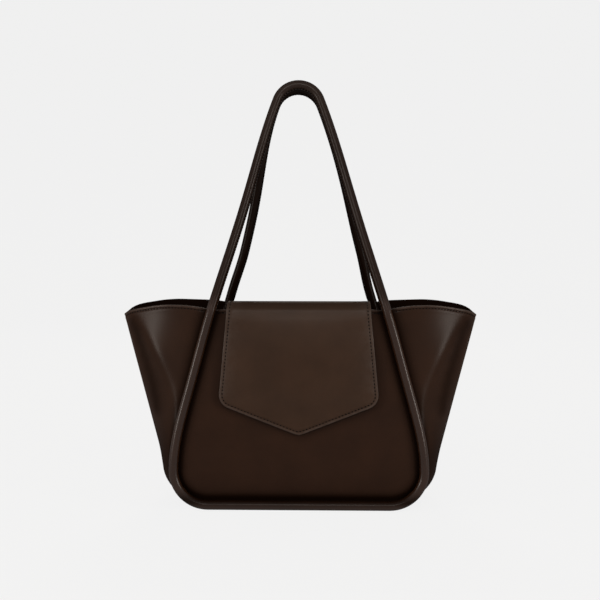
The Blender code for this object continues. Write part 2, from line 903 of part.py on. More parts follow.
def build():
    clear_scene()
    leather_finish = finish("brown leather", (0.040, 0.024, 0.016), 0.42)
    flap_finish = finish("flap leather", (0.042, 0.026, 0.018), 0.40)
    lining_finish = finish("lining cloth", (0.020, 0.015, 0.012), 0.85)
    board_finish = finish("board", (0.16, 0.13, 0.10), 0.90)
    cord_finish = finish("cotton cord", (0.55, 0.50, 0.42), 0.95)
    metal = finish("snap metal", (0.50, 0.45, 0.38), 0.30, 1.0)

    clear = rim_depth + polygon_radius + seam_gap
    axes = {
        FRONT: add_axis("front_handle_axis", (0, -clear, rim_height)),
        REAR: add_axis("rear_handle_axis", (0, clear, rim_height)),
    }
    rear_y, _, rear_radius = rear_bend()
    hinge = (0, rear_y + rear_radius + seam_gap, flap_root_top())
    bridge_axis = add_axis("flap_hinge_axis", hinge)
    front_y, front_z = shoulder_centre()
    fold = (0, front_y - flap_shoulder_radius - seam_gap, front_z)
    drop_axis = add_axis("flap_fold_axis", fold)

    add_tubes(leather_finish, cord_finish, axes)
    add_panels(leather_finish, lining_finish, board_finish)
    add_wings(leather_finish, lining_finish)
    add_base(leather_finish, lining_finish, board_finish)
    add_flap(flap_finish, lining_finish, bridge_axis, drop_axis)
    add_snap(metal, drop_axis)
    add_pocket(lining_finish)


build()
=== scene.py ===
"""Dressed model of the flap tote: smooth leather, rolled tubes, sewn rims and a pointed flap.

The sizes repeat those of the part's source, so every piece lies where its solid lies.
Lengths are in metres, +Z is up and -Y is the front.
"""

import math

import bmesh
import bpy
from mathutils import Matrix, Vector, kdtree, noise


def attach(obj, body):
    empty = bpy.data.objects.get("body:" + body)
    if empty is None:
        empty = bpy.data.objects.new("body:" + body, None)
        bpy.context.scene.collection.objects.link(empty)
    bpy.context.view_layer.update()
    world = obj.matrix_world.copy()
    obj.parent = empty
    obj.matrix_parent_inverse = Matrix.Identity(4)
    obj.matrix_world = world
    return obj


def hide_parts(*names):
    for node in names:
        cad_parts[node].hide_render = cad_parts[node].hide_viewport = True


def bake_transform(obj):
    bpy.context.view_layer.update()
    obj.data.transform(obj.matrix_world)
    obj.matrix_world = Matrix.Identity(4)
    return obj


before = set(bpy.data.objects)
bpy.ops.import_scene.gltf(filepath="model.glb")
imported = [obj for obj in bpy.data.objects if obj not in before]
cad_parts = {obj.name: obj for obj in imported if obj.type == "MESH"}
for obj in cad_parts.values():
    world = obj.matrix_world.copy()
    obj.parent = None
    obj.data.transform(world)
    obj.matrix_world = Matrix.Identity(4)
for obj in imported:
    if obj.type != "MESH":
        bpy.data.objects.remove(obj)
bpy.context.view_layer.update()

MM = 0.001
FRONT = -1
REAR = 1
FACES = ((FRONT, "front"), (REAR, "rear"))

# Camera
lens_length = 65.0
sensor_width = 36.0
camera_distance = 1.30
camera_elevation = math.radians(5.3)
camera_azimuth = math.radians(1.3)
camera_target = Vector((0.0003, 0.0, 0.2404))

# Clearance and tubes
seam_gap = 0.3 * MM
seam_tuck = 1.8 * MM
tube_radius = 5.5 * MM
tube_sides = 12

# Outline of the front and rear panels, measured to the tube's centre
rim_height = 233 * MM
rim_depth = 50 * MM
base_depth = 60 * MM
base_half_width = 146 * MM
corner_radius = 40 * MM
front_rim_half_width = 101.5 * MM
rear_rim_half_width = 89.5 * MM
side_flare = 0.31
side_waist = 3.2 * MM
rear_rim_drop = 2 * MM

# Wings
wing_tip_half_width = 210.4 * MM
wing_tip_height = 224 * MM
wing_base_half_width = 155.8 * MM
wing_corner_radius = 38 * MM
wing_rim_rise = 3 * MM
front_rim_wave = 1.8 * MM
rear_rim_wave = 4.4 * MM
wave_turn = 0.56
wave_bias = 1.8
start_turn_top = math.radians(8)
start_turn_bottom = math.radians(52)
crease_turn_top = math.radians(35)
wing_fullness = 0.38

# Handle loops
front_handle_height = 500 * MM
rear_handle_height = 495 * MM
handle_lean_gap = 0.4 * MM
front_handle_top_radius = 26.5 * MM
rear_handle_top_radius = 29.5 * MM
handle_waist = 2.4 * MM
handle_top_turn = math.radians(69)
front_sway = 1.2 * MM
rear_sway_low = 2.5 * MM
rear_sway_high = 2.0 * MM
foot_bend_start = 226 * MM
foot_bend_end = 260 * MM
bend_rings = 4

# Sheets
leather = 1.6 * MM
lining = 0.8 * MM
lining_rounding = 0.25 * MM
facing_height = 30 * MM
lining_depth_inset = 6.2 * MM
lining_edge_inset = 3.8 * MM
crease_inset_top = 11 * MM
lining_lap = 4 * MM
lap_lift = 1 * MM

# Flap
flap_leather = 1.4 * MM
flap_core = 1.1 * MM
flap_lining = 0.8 * MM
flap_shoulder_radius = 14 * MM
flap_shoulder_height = 229.2 * MM
flap_shoulder_half_width = 83.3 * MM
flap_low_half_width = 93.3 * MM
flap_corner_height = 125 * MM
flap_tip_height = 88.5 * MM
flap_corner_radius = 16 * MM
flap_rear_half_width = 76 * MM
flap_root_height = 30 * MM
shoulder_ease = math.radians(13)
flap_seat = 0.4 * MM

# Snap and pocket
snap_height = 134 * MM
socket_thickness = 2.2 * MM
stud_plate = 1.2 * MM
pocket_half_width = 70 * MM
pocket_top = 170 * MM
pocket_bottom = 60 * MM

# Sewing
rim_inset = 3.3 * MM
flap_inset = 3.7 * MM
stitch_pitch = 4.0 * MM
stitch_length = 2.2 * MM
thread_radius = 0.66 * MM
stitch_profile = ((-1, 0.35, -0.9), (-0.72, 0.95, -0.05), (0, 1, 0.35), (0.72, 0.95, -0.05), (1, 0.35, -0.9))
hem_rows = [d * MM for d in (0, 0.7, 1.5, 2.4, 3.3, 4.2, 5.4, 7.2, 10, 14)]

# Rolled tube: the round part and the sewn lip on its inner side
roll_radius = 5.15 * MM
roll_shift = 0.35 * MM
lip_half_thickness = 1.35 * MM
lip_edge = 5.7 * MM

# Sizes that follow from the ones above
polygon_radius = tube_radius / math.cos(math.pi / tube_sides)
corner_top = tube_radius + corner_radius
corner_half_width = base_half_width - corner_radius
side_drop = rim_height - corner_top
panel_lean = (base_depth - rim_depth) / (rim_height - tube_radius)
sheet_start = polygon_radius + seam_gap
flap_thickness = flap_leather + flap_core + flap_lining
snap_stack = socket_thickness + stud_plate + 3 * seam_gap
facing_shift = -(leather / 2 + seam_gap + lining / 2)

# Leather beside a row of stitches: a groove between two lips, heights in millimetres
groove_depth = 0.45
groove_width = 0.85 * MM
outer_lip_height = 0.16
outer_lip_offset = 1.8 * MM
outer_lip_width = 1.2 * MM
inner_lip_height = 0.20
inner_lip_offset = 2.2 * MM
inner_lip_width = 1.8 * MM
# Painted highlight on the raised rim outside the stitches
hem_highlight_share = 0.6
hem_highlight_start = 0.7 * MM
hem_highlight_reach = 1.0 * MM
# Painted shade in the groove under the stitches
stitch_groove_shade_strength = 0.2
stitch_groove_shade_width = 1.2 * MM

# Rolled tubes: the growing lip, where they are rubbed, and where shade is painted on them
tube_points = 26
lip_start = 226 * MM
lip_growth = 14 * MM
foot_evening = 18 * MM
foot_rub = 0.5
grip_rub = 0.35
beside_panel_shade = 0.75
above_rim_shade = 0.5
between_handles_shade = 0.8

# Panels: pull of the seams, belly and slow waves, the painted shade beside the tube and at the foot, and the
# painted shadow of the flap's edge
seam_pull = 2.4 * MM
seam_pull_reach = 4.5 * MM
seam_pull_top = 12 * MM
foot_pull = 0.4 * MM
foot_pull_reach = 16 * MM
belly_height = 1.3 * MM
belly_middle = 65 * MM
belly_reach = 55 * MM
panel_wave = 0.55 * MM
panel_wave_size = 70 * MM
snap_flat_radius = 30 * MM
inner_follows = 0.85
panel_seam_shade = 0.9
panel_seam_shade_width = 7 * MM
panel_foot_shade = 0.5
panel_foot_shade_reach = 15 * MM
flap_edge_shadow = 0.28
flap_edge_shadow_width = 8 * MM
panel_spread = 0.92

# Wings: the rim's droop, the soft fold, where they are rubbed, and where shade is painted on them
front_rim_droop = 2.4 * MM
rear_rim_droop = 1.2 * MM
rim_blur = 0.24
fold_height = 7.5 * MM
fold_blur = (-0.07, -0.035, 0, 0.035, 0.07)
fold_edge = 0.10
rear_fold_share = 0.8
wing_wave = 0.4 * MM
wing_wave_size = 60 * MM
wing_tuck = 3.0 * MM
wing_seam_shade = 0.95
wing_seam_shade_width = 8.5 * MM
hollow_shade = 0.5
hollow_shade_width = 12 * MM
low_wing_shade = 0.5
fold_rub = 0.55
fold_rub_width = 2.2 * MM
corner_rub = 0.35

# Flap: sag over the mouth, dome and hump, rolled edge, and its painted highlight and painted shade
bridge_sag = 1.6 * MM
tip_softening = 9 * MM
tip_rise = 0.8 * MM
dome_height = 1.0 * MM
flap_wave = 0.35 * MM
flap_wave_size = 55 * MM
hump_height = 2.6 * MM
hump_reach = 11 * MM
backing_push = 0.3
edge_roll_high = 3.4
edge_roll_low = 1.8
edge_roll_reach = 14 * MM
edge_roll_start = 20 * MM
flap_edge_highlight = 0.85
flap_edge_highlight_reach = 8 * MM
flap_bend_shade = 0.38
flap_bend_shade_start = 226 * MM
flap_bend_shade_reach = 15 * MM

# Stage and lamps; each lamp is (name, place, width, height, power)
stage_half_width = 7.0
sweep_start = 1.8
sweep_radius = 0.8
stage_drop = 0.4 * MM
stage_shade = 1.014
stage_shadow_share = 0.16
lamp_target = (0, 0, 0.2)
lamps = (
    ("left_softbox", (-1.06, -0.58, 0.28), 0.16, 0.4, 4.6),
    ("right_softbox", (1.06, -0.58, 0.28), 0.16, 0.4, 4.6),
    ("front_softbox", (0, -1.35, 0.85), 0.5, 0.35, 4.5),
    ("rear_softbox", (0, 1.6, 1.5), 0.6, 0.4, 11),
)
sky_light = (0.45, 0.432, 0.414)
sky_seen = (0.888, 0.888, 0.888)


def mix(a, b, t):
    return a + (b - a) * t


def smooth(t):
    """Soft step from 0 to 1."""
    t = min(max(t, 0.0), 1.0)
    return t * t * (3 - 2 * t)


def bump(x, centre, width):
    """Soft hill of height 1 round a centre."""
    return math.exp(-(((x - centre) / width) ** 2))


def bezier(p0, p1, p2, p3, t):
    s = 1 - t
    return p0 * s**3 + p1 * (3 * s * s * t) + p2 * (3 * s * t * t) + p3 * t**3


def hermite(a, b, slope_a, slope_b, t):
    along = 3 * t * t - 2 * t**3
    return mix(a, b, along) + slope_a * (t**3 - 2 * t * t + t) + slope_b * (t**3 - t * t)


def shares(steps):
    return [k / steps for k in range(steps + 1)]


# Colours, written as the light they give back, and node helpers

bag_colour = (0.0245, 0.0105, 0.0055)
# Painted light: the flap is the bag's leather, given a lighter colour for the extra light that falls on it
flap_lit_colour = (0.0385, 0.0196, 0.0112)
wing_colour = (0.0245, 0.0106, 0.0054)
# Edge paint, made lighter and greyer than the leather partly as a painted highlight on the rounded edges
edge_paint_and_highlight_colour = (0.0560, 0.0400, 0.0330)
# Colour of rubbed leather, also used as a painted highlight on raised rims and along the flap's edges
rubbed_and_highlight_colour = (0.0790, 0.0575, 0.0480)
thread_colour = (0.0022, 0.0011, 0.0007)
lining_colour = (0.0100, 0.0052, 0.0030)
board_colour = (0.16, 0.13, 0.10)
metal_colour = (0.46, 0.40, 0.33)
# Share of a leather's colour that is left where painted shade darkens it fully
painted_shade_share = 0.16
base_specular = 0.0
finish_ior = 2.0
lamp_colour = (1.0, 0.92, 0.84)


def add_group(name, inputs, outputs):
    """A shader node group with named sockets: (name, default) pairs in, (name, type) out."""
    tree = bpy.data.node_groups.new(name, "ShaderNodeTree")
    for label, kind, value in inputs:
        socket = tree.interface.new_socket(label, in_out="INPUT", socket_type=kind)
        if value is not None:
            socket.default_value = value
    for label, kind in outputs:
        tree.interface.new_socket(label, in_out="OUTPUT", socket_type=kind)
    entry = tree.nodes.new("NodeGroupInput")
    leave = tree.nodes.new("NodeGroupOutput")
    return tree, entry, leave


def set_inputs(node, **values):
    """Set a node's input values; an underscore in a name stands for a space."""
    for key, value in values.items():
        node.inputs[key.replace("_", " ")].default_value = value


def add_node(tree, kind, settings=None, **values):
    """A node with its properties and its input values set."""
    made = tree.nodes.new(kind)
    for key, value in (settings or {}).items():
        setattr(made, key, value)
    set_inputs(made, **values)
    return made


def add_relief(tree, shader, height, strength, distance):
    """Small bumps on a shader's surface, from a height value."""
    relief = add_node(tree, "ShaderNodeBump", Strength=strength, Distance=distance)
    tree.links.new(height, relief.inputs["Height"])
    tree.links.new(relief.outputs["Normal"], shader.inputs["Normal"])


def add_attribute(tree, name):
    """The value that a mesh carries at each point under a name."""
    return add_node(tree, "ShaderNodeAttribute", {"attribute_name": name}).outputs["Fac"]


def math_node(tree, operation, a, b=None, clamp=False):
    """A Math node fed by sockets or numbers; returns its output."""
    made = tree.nodes.new("ShaderNodeMath")
    made.operation = operation
    made.use_clamp = clamp
    for slot, value in ((0, a), (1, b)):
        if value is None:
            continue
        if isinstance(value, (int, float)):
            made.inputs[slot].default_value = value
        else:
            tree.links.new(value, made.inputs[slot])
    return made.outputs[0]


def ramp(tree, source, low, high):
    """Map a value from low..high to 0..1, held inside."""
    made = tree.nodes.new("ShaderNodeMapRange")
    made.inputs["From Min"].default_value = low
    made.inputs["From Max"].default_value = high
    tree.links.new(source, made.inputs["Value"])
    return made.outputs["Result"]


def build_grain_group():
    """Fine pebbled grain, soft mottling and faint handling marks of a satin leather."""
    tree, entry, leave = add_group(
        "leather_grain",
        [
            ("Vector", "NodeSocketVector", None),
            ("Pebble Size", "NodeSocketFloat", 900.0),
            ("Mottle Size", "NodeSocketFloat", 22.0),
            ("Scratch Amount", "NodeSocketFloat", 0.35),
        ],
        [
            ("Height", "NodeSocketFloat"),
            ("Mottle", "NodeSocketFloat"),
            ("Rub", "NodeSocketFloat"),
        ],
    )
    link = tree.links.new
    pebble = add_node(tree, "ShaderNodeTexVoronoi", {"feature": "SMOOTH_F1"}, Smoothness=0.6)
    link(entry.outputs["Vector"], pebble.inputs["Vector"])
    link(entry.outputs["Pebble Size"], pebble.inputs["Scale"])
    fine = add_node(tree, "ShaderNodeTexNoise", Detail=4.0, Roughness=0.6)
    link(entry.outputs["Vector"], fine.inputs["Vector"])
    link(math_node(tree, "MULTIPLY", entry.outputs["Pebble Size"], 0.42), fine.inputs["Scale"])
    dome = math_node(tree, "SUBTRACT", 1.0, pebble.outputs["Distance"])
    height = math_node(tree, "ADD", math_node(tree, "MULTIPLY", dome, 0.6),
                       math_node(tree, "MULTIPLY", fine.outputs["Fac"], 0.7))
    scratch = add_node(tree, "ShaderNodeTexNoise", Scale=1.0, Detail=3.0, Roughness=0.7)
    stretch = add_node(tree, "ShaderNodeMapping")
    stretch.inputs["Scale"].default_value = (60.0, 60.0, 900.0)
    stretch.inputs["Rotation"].default_value = (0.4, 0.5, 0.3)
    link(entry.outputs["Vector"], stretch.inputs["Vector"])
    link(stretch.outputs["Vector"], scratch.inputs["Vector"])
    mark = ramp(tree, scratch.outputs["Fac"], 0.62, 0.80)
    mark = math_node(tree, "MULTIPLY", mark, entry.outputs["Scratch Amount"])
    height = math_node(tree, "SUBTRACT", height, mark)
    link(height, leave.inputs["Height"])
    cloud = add_node(tree, "ShaderNodeTexNoise", Detail=3.0, Roughness=0.55)
    link(entry.outputs["Vector"], cloud.inputs["Vector"])
    link(entry.outputs["Mottle Size"], cloud.inputs["Scale"])
    link(ramp(tree, cloud.outputs["Fac"], 0.30, 0.70), leave.inputs["Mottle"])
    rub = add_node(tree, "ShaderNodeTexNoise", Scale=55.0, Detail=5.0, Roughness=0.62)
    link(entry.outputs["Vector"], rub.inputs["Vector"])
    link(ramp(tree, rub.outputs["Fac"], 0.42, 0.72), leave.inputs["Rub"])
    return tree


def build_weave_group():
    """Plain weave: two crossed sets of threads."""
    tree, entry, leave = add_group(
        "cloth_weave",
        [("Vector", "NodeSocketVector", None), ("Threads Per Metre", "NodeSocketFloat", 1800.0)],
        [("Height", "NodeSocketFloat"), ("Tone", "NodeSocketFloat")],
    )
    link = tree.links.new
    parts = add_node(tree, "ShaderNodeSeparateXYZ")
    link(entry.outputs["Vector"], parts.inputs["Vector"])
    turn = math_node(tree, "MULTIPLY", entry.outputs["Threads Per Metre"], 2 * math.pi)
    across = math_node(tree, "ADD", parts.outputs["X"], parts.outputs["Y"])
    warp = math_node(tree, "SINE", math_node(tree, "MULTIPLY", across, turn))
    weft = math_node(tree, "SINE", math_node(tree, "MULTIPLY", parts.outputs["Z"], turn))
    height = math_node(tree, "MULTIPLY", warp, weft)
    link(height, leave.inputs["Height"])
    slub = add_node(tree, "ShaderNodeTexNoise", Scale=240.0, Detail=3.0, Roughness=0.6)
    link(entry.outputs["Vector"], slub.inputs["Vector"])
    link(math_node(tree, "ADD", slub.outputs["Fac"], math_node(tree, "MULTIPLY", height, 0.12)),
         leave.inputs["Tone"])
    return tree


def build_wear_and_highlight_group():
    """Rubbed places and painted highlights: a mask from the piece's wear_and_highlight attribute, broken up
    by noise.
    """
    tree, entry, leave = add_group(
        "edge_wear_and_highlight",
        [
            ("Vector", "NodeSocketVector", None),
            ("Wear_And_Highlight", "NodeSocketFloat", 0.0),
            ("Patchiness", "NodeSocketFloat", 0.5),
        ],
        [("Mask", "NodeSocketFloat")],
    )
    link = tree.links.new
    patch = add_node(tree, "ShaderNodeTexNoise", Scale=140.0, Detail=4.0, Roughness=0.65)
    link(entry.outputs["Vector"], patch.inputs["Vector"])
    broken = ramp(tree, patch.outputs["Fac"], 0.35, 0.65)
    rest = math_node(tree, "SUBTRACT", 1.0, entry.outputs["Patchiness"])
    kept = math_node(tree, "ADD", rest, math_node(tree, "MULTIPLY", broken, entry.outputs["Patchiness"]))
    link(math_node(tree, "MULTIPLY", entry.outputs["Wear_And_Highlight"], kept, clamp=True), leave.inputs["Mask"])
    return tree


grain_group = build_grain_group()
weave_group = build_weave_group()
wear_and_highlight_group = build_wear_and_highlight_group()


def new_material(name):
    made = bpy.data.materials.new(name)
    made.use_nodes = True
    tree = made.node_tree
    shader = tree.nodes["Principled BSDF"]
    place = tree.nodes.new("ShaderNodeTexCoord")
    return made, tree, shader, place.outputs["Object"]


def group_node(tree, group, vector, **values):
    made = tree.nodes.new("ShaderNodeGroup")
    made.node_tree = group
    tree.links.new(vector, made.inputs["Vector"])
    set_inputs(made, **values)
    return made


def colour_mix(tree, share, low, high):
    """Mix of two fixed colours, or of a colour socket and a fixed colour."""
    made = tree.nodes.new("ShaderNodeMix")
    made.data_type = "RGBA"
    tree.links.new(share, made.inputs["Factor"])
    for slot, value in (("A", low), ("B", high)):
        target = [s for s in made.inputs if s.name == slot and s.type == "RGBA"][0]
        if isinstance(value, tuple):
            target.default_value = (*value, 1.0)
        else:
            tree.links.new(value, target)
    return [s for s in made.outputs if s.type == "RGBA"][0]


def scaled(colour, factor):
    return tuple(c * factor for c in colour)


def leather_material(name, colour, roughness, pebble, depth, polish, gloss, scratch=0.35):
    """Dyed leather under a thin clear finish: polish is the finish's weight, gloss its roughness."""
    made, tree, shader, place = new_material(name)
    link = tree.links.new
    grain = group_node(tree, grain_group, place, Pebble_Size=pebble, Scratch_Amount=scratch)
    # The mask mixes in the rubbed colour: real rubbing, and a painted highlight on raised rims and the
    # flap's edges
    wear_and_highlight_mask = group_node(tree, wear_and_highlight_group, place, Patchiness=0.6)
    link(add_attribute(tree, "wear_and_highlight"), wear_and_highlight_mask.inputs["Wear_And_Highlight"])
    tone = colour_mix(tree, grain.outputs["Mottle"], scaled(colour, 0.86), scaled(colour, 1.14))
    tone = colour_mix(tree, wear_and_highlight_mask.outputs["Mask"], tone, rubbed_and_highlight_colour)
    # Painted shade: the crease attribute darkens the colour and takes away the clear finish's reflection
    crease = add_attribute(tree, "crease")
    tone = colour_mix(tree, crease, tone, scaled(colour, painted_shade_share))
    link(tone, shader.inputs["Base Color"])
    rub = math_node(tree, "MULTIPLY", grain.outputs["Rub"], 0.10)
    dull = math_node(tree, "ADD", rub, roughness - 0.04)
    rubbed = math_node(tree, "MULTIPLY", wear_and_highlight_mask.outputs["Mask"], 0.08)
    link(math_node(tree, "SUBTRACT", dull, rubbed), shader.inputs["Roughness"])
    add_relief(tree, shader, grain.outputs["Height"], depth, 0.25 * MM)
    clean = math_node(tree, "SUBTRACT", 1.0, crease)
    link(math_node(tree, "MULTIPLY", clean, polish), shader.inputs["Coat Weight"])
    set_inputs(shader, Specular_IOR_Level=base_specular, Coat_Roughness=gloss, Coat_IOR=finish_ior)
    return made


def cloth_material(name, colour, threads):
    made, tree, shader, place = new_material(name)
    link = tree.links.new
    weave = group_node(tree, weave_group, place, Threads_Per_Metre=threads)
    tone = colour_mix(tree, weave.outputs["Tone"], scaled(colour, 0.6), scaled(colour, 1.5))
    link(tone, shader.inputs["Base Color"])
    add_relief(tree, shader, weave.outputs["Height"], 0.35, 0.2 * MM)
    set_inputs(shader, Roughness=0.85, Specular_IOR_Level=0.05)
    return made


def patterned_material(name, colour, tones, bumps, kind, settings=None, **values):
    """A surface whose one pattern gives its tones and its bumps; returns it with its parts."""
    made, tree, shader, place = new_material(name)
    pattern = add_node(tree, kind, settings, **values)
    tree.links.new(place, pattern.inputs["Vector"])
    height = pattern.outputs["Fac"]
    tone = colour_mix(tree, height, *[scaled(colour, share) for share in tones])
    tree.links.new(tone, shader.inputs["Base Color"])
    add_relief(tree, shader, height, *bumps)
    return made, tree, shader, height


def thread_material():
    """Twisted thread: a tight spiral of light and dark along each stitch."""
    made, _, shader, _ = patterned_material(
        "sewing_thread", thread_colour, (0.5, 1.3), (0.4, 0.1 * MM),
        "ShaderNodeTexWave", {"bands_direction": "DIAGONAL"}, Scale=900.0, Distortion=1.5,
    )
    set_inputs(shader, Roughness=0.6, Specular_IOR_Level=0.05)
    return made


def edge_paint_and_highlight_material():
    """Edge paint along the cut edges, smoother than the leather; its lighter colour is partly a painted
    highlight on the rounded edges.
    """
    made, tree, shader, place = new_material("edge_paint_and_highlight")
    link = tree.links.new
    grain = group_node(tree, grain_group, place, Pebble_Size=500.0, Scratch_Amount=0.1)
    tone = colour_mix(tree, grain.outputs["Rub"], scaled(edge_paint_and_highlight_colour, 0.8), scaled(edge_paint_and_highlight_colour, 1.25))
    link(tone, shader.inputs["Base Color"])
    add_relief(tree, shader, grain.outputs["Height"], 0.15, 0.2 * MM)
    gloss = math_node(tree, "ADD", math_node(tree, "MULTIPLY", grain.outputs["Mottle"], 0.1), 0.36)
    link(gloss, shader.inputs["Roughness"])
    set_inputs(shader, Specular_IOR_Level=base_specular, Coat_Weight=0.08, Coat_Roughness=0.3,
               Coat_IOR=finish_ior)
    return made


def board_material():
    """Grey board with fine flecks."""
    made, _, shader, _ = patterned_material(
        "grey_board", board_colour, (0.7, 1.3), (0.25, 0.2 * MM),
        "ShaderNodeTexNoise", Scale=420.0, Detail=5.0, Roughness=0.7,
    )
    set_inputs(shader, Roughness=0.9)
    return made


def metal_material():
    """Snap metal with small dull patches."""
    made, tree, shader, patch = patterned_material(
        "snap_metal", metal_colour, (0.8, 1.15), (0.1, 0.1 * MM),
        "ShaderNodeTexNoise", Scale=700.0, Detail=4.0, Roughness=0.6,
    )
    gloss = math_node(tree, "ADD", math_node(tree, "MULTIPLY", patch, 0.2), 0.2)
    tree.links.new(gloss, shader.inputs["Roughness"])
    set_inputs(shader, Metallic=1.0)
    return made


bag_leather = leather_material("bag_leather", bag_colour, 0.42, 1500.0, 0.22, 0.055, 0.38)
wing_leather = leather_material("wing_leather", wing_colour, 0.42, 1500.0, 0.22, 0.055, 0.29)
tube_leather = leather_material("rolled_leather", bag_colour, 0.36, 1700.0, 0.16, 0.16, 0.27)
flap_skin = leather_material("flap_leather", flap_lit_colour, 0.42, 1500.0, 0.22, 0.08, 0.34)
# Painted shade: the rim facings and the flap's backing are the bag's leather at a quarter of its colour, for
# the shade inside the bag
shaded_facing_leather = leather_material("shaded_facing_leather", scaled(bag_colour, 0.25), 0.6, 1300.0, 0.3, 0.002, 0.6)
lining_cloth = cloth_material("lining_cloth", lining_colour, 1700.0)
thread = thread_material()
edge_paint_and_highlight = edge_paint_and_highlight_material()
grey_board = board_material()
snap_metal = metal_material()


# Meshes: grids of points made into closed sheets with softly rounded edges


def grid_normals(rows):
    """Unit normal at each grid point, and how much longer a mitred offset has to be."""
    high = len(rows)
    wide = len(rows[0])
    flat = {}
    for i in range(high - 1):
        for j in range(wide - 1):
            along = rows[i + 1][j + 1] - rows[i][j]
            across = rows[i + 1][j] - rows[i][j + 1]
            flat[i, j] = along.cross(across).normalized()
    normals = []
    for i in range(high):
        line = []
        for j in range(wide):
            near = [(i - 1, j - 1), (i - 1, j), (i, j - 1), (i, j)]
            around = [flat[k] for k in near if k in flat]
            mean = sum(around, Vector()).normalized()
            least = min(mean.dot(n) for n in around)
            line.append((mean, 1 / max(least, 0.6)))
        normals.append(line)
    return normals


def outward_sign(rows, normals):
    middle = Vector((0, 0, rim_height / 2))
    i = len(rows) // 2
    j = len(rows[0]) // 2
    return 1 if normals[i][j][0].dot(rows[i][j] - middle) > 0 else -1


def offset_rows(rows, distance):
    """The grid moved away from the bag's middle; distance may be a function of (i, j)."""
    normals = grid_normals(rows)
    sign = outward_sign(rows, normals)
    moved = []
    for i, line in enumerate(rows):
        new_line = []
        for j, p in enumerate(line):
            normal, length = normals[i][j]
            reach = distance(i, j) if callable(distance) else distance * length
            new_line.append(p + normal * (reach * sign))
        moved.append(new_line)
    return moved


def sheet_faces(shape, outer, inner):
    """Both broad faces of a sheet between two grids; returns their grids of vertices."""
    top = [[shape.verts.new(p) for p in line] for line in outer]
    low = [[shape.verts.new(p) for p in line] for line in inner]
    for i in range(len(outer) - 1):
        for j in range(len(outer[0]) - 1):
            shape.faces.new((top[i][j], top[i + 1][j], top[i + 1][j + 1], top[i][j + 1]))
            shape.faces.new((low[i][j + 1], low[i + 1][j + 1], low[i + 1][j], low[i][j]))
    return top, low


def round_edges(shape, edges, rounding):
    """Round a sheet's edges and give the rounding the edge finish."""
    bmesh.ops.bevel(shape, geom=edges, offset=rounding, segments=3, profile=0.5,
                    affect="EDGES", clamp_overlap=True, material=1)


def soft_sheet(name, outer, inner, skin, edge=edge_paint_and_highlight, rounding=0.5 * MM, open_sides="",
               wear_and_highlight=None, crease=None):
    """A closed sheet between two grids. Its rims are rounded and take the edge finish.

    open_sides names the sides, of t b l r, whose rim stays square because another piece goes on there.
    """
    shape = bmesh.new()
    high = len(outer)
    wide = len(outer[0])
    top, low = sheet_faces(shape, outer, inner)
    rims = {
        "t": [(0, j) for j in range(wide)],
        "b": [(high - 1, j) for j in range(wide)],
        "l": [(i, 0) for i in range(high)],
        "r": [(i, wide - 1) for i in range(high)],
    }
    soft = []
    for side, path in rims.items():
        for (i, j), (m, n) in zip(path, path[1:]):
            wall = shape.faces.new((top[i][j], top[m][n], low[m][n], low[i][j]))
            wall.material_index = 1
            if side not in open_sides:
                soft.append(shape.edges.get((top[i][j], top[m][n])))
                soft.append(shape.edges.get((low[i][j], low[m][n])))
    bmesh.ops.recalc_face_normals(shape, faces=shape.faces)
    if rounding and soft:
        round_edges(shape, soft, rounding)
    return finish_mesh(name, shape, [skin, edge], wear_and_highlight, crease)


def thin_sheet(name, rows, skin, edge):
    """A closed sheet of the lining's thickness, half on each side of a grid."""
    return soft_sheet(name, offset_rows(rows, lining / 2), offset_rows(rows, -lining / 2),
                      skin, edge, lining_rounding)


def finish_mesh(name, shape, finishes, wear_and_highlight=None, crease=None, sharp=48):
    """Turn a bmesh into an object at the origin, smooth shaded up to an angle in degrees.

    wear_and_highlight gives, for a point, how rubbed its leather is and how much painted highlight it has;
    crease gives how much painted shade darkens it.
    """
    mesh = bpy.data.meshes.new(name)
    shape.to_mesh(mesh)
    shape.free()
    for item in finishes:
        mesh.materials.append(item)
    mesh.shade_smooth()
    mesh.set_sharp_from_angle(angle=math.radians(sharp))
    for label, share in (("wear_and_highlight", wear_and_highlight), ("crease", crease)):
        if share is not None:
            mark = mesh.attributes.new(label, "FLOAT", "POINT")
            mark.data.foreach_set("value", [min(max(share(v.co), 0.0), 1.0) for v in mesh.vertices])
    piece = bpy.data.objects.new(name, mesh)
    bpy.context.scene.collection.objects.link(piece)
    return piece


def distance_to(line):
    """A function that gives a point's distance to a line of points."""
    dense = []
    for a, b in zip(line, line[1:]):
        count = max(int((b - a).length / (0.8 * MM)), 1)
        dense += [mix(a, b, k / count) for k in range(count)]
    dense.append(line[-1])
    tree = kdtree.KDTree(len(dense))
    for k, point in enumerate(dense):
        tree.insert(point, k)
    tree.balance()
    return lambda p: tree.find(p)[2]


def hem_highlight(distance, inset):
    """How much painted highlight the raised rim outside a row of stitches has."""
    return hem_highlight_share * smooth((inset - hem_highlight_start - distance) / hem_highlight_reach)


def stitch_groove_shade(distance, inset):
    """How much painted shade darkens the groove under a row of stitches."""
    return stitch_groove_shade_strength * bump(distance, inset, stitch_groove_shade_width)


def hem_relief(distance, inset):
    """Height of the leather beside a row of stitches: a groove with soft lips."""
    groove = -groove_depth * bump(distance, inset, groove_width)
    outer_lip = outer_lip_height * bump(distance, inset - outer_lip_offset, outer_lip_width)
    inner_lip = inner_lip_height * bump(distance, inset + inner_lip_offset, inner_lip_width)
    return (groove + (outer_lip + inner_lip)) * MM


def undulation(point, size, seed):
    """Slow unevenness between -1 and 1."""
    return noise.noise(Vector(point) / size + Vector((seed, seed * 0.7, -seed)))


# The outline that each rolled tube follows


def rim_half_width(face):
    return front_rim_half_width if face == FRONT else rear_rim_half_width


def rim_top(face):
    return rim_height if face == FRONT else rim_height - rear_rim_drop


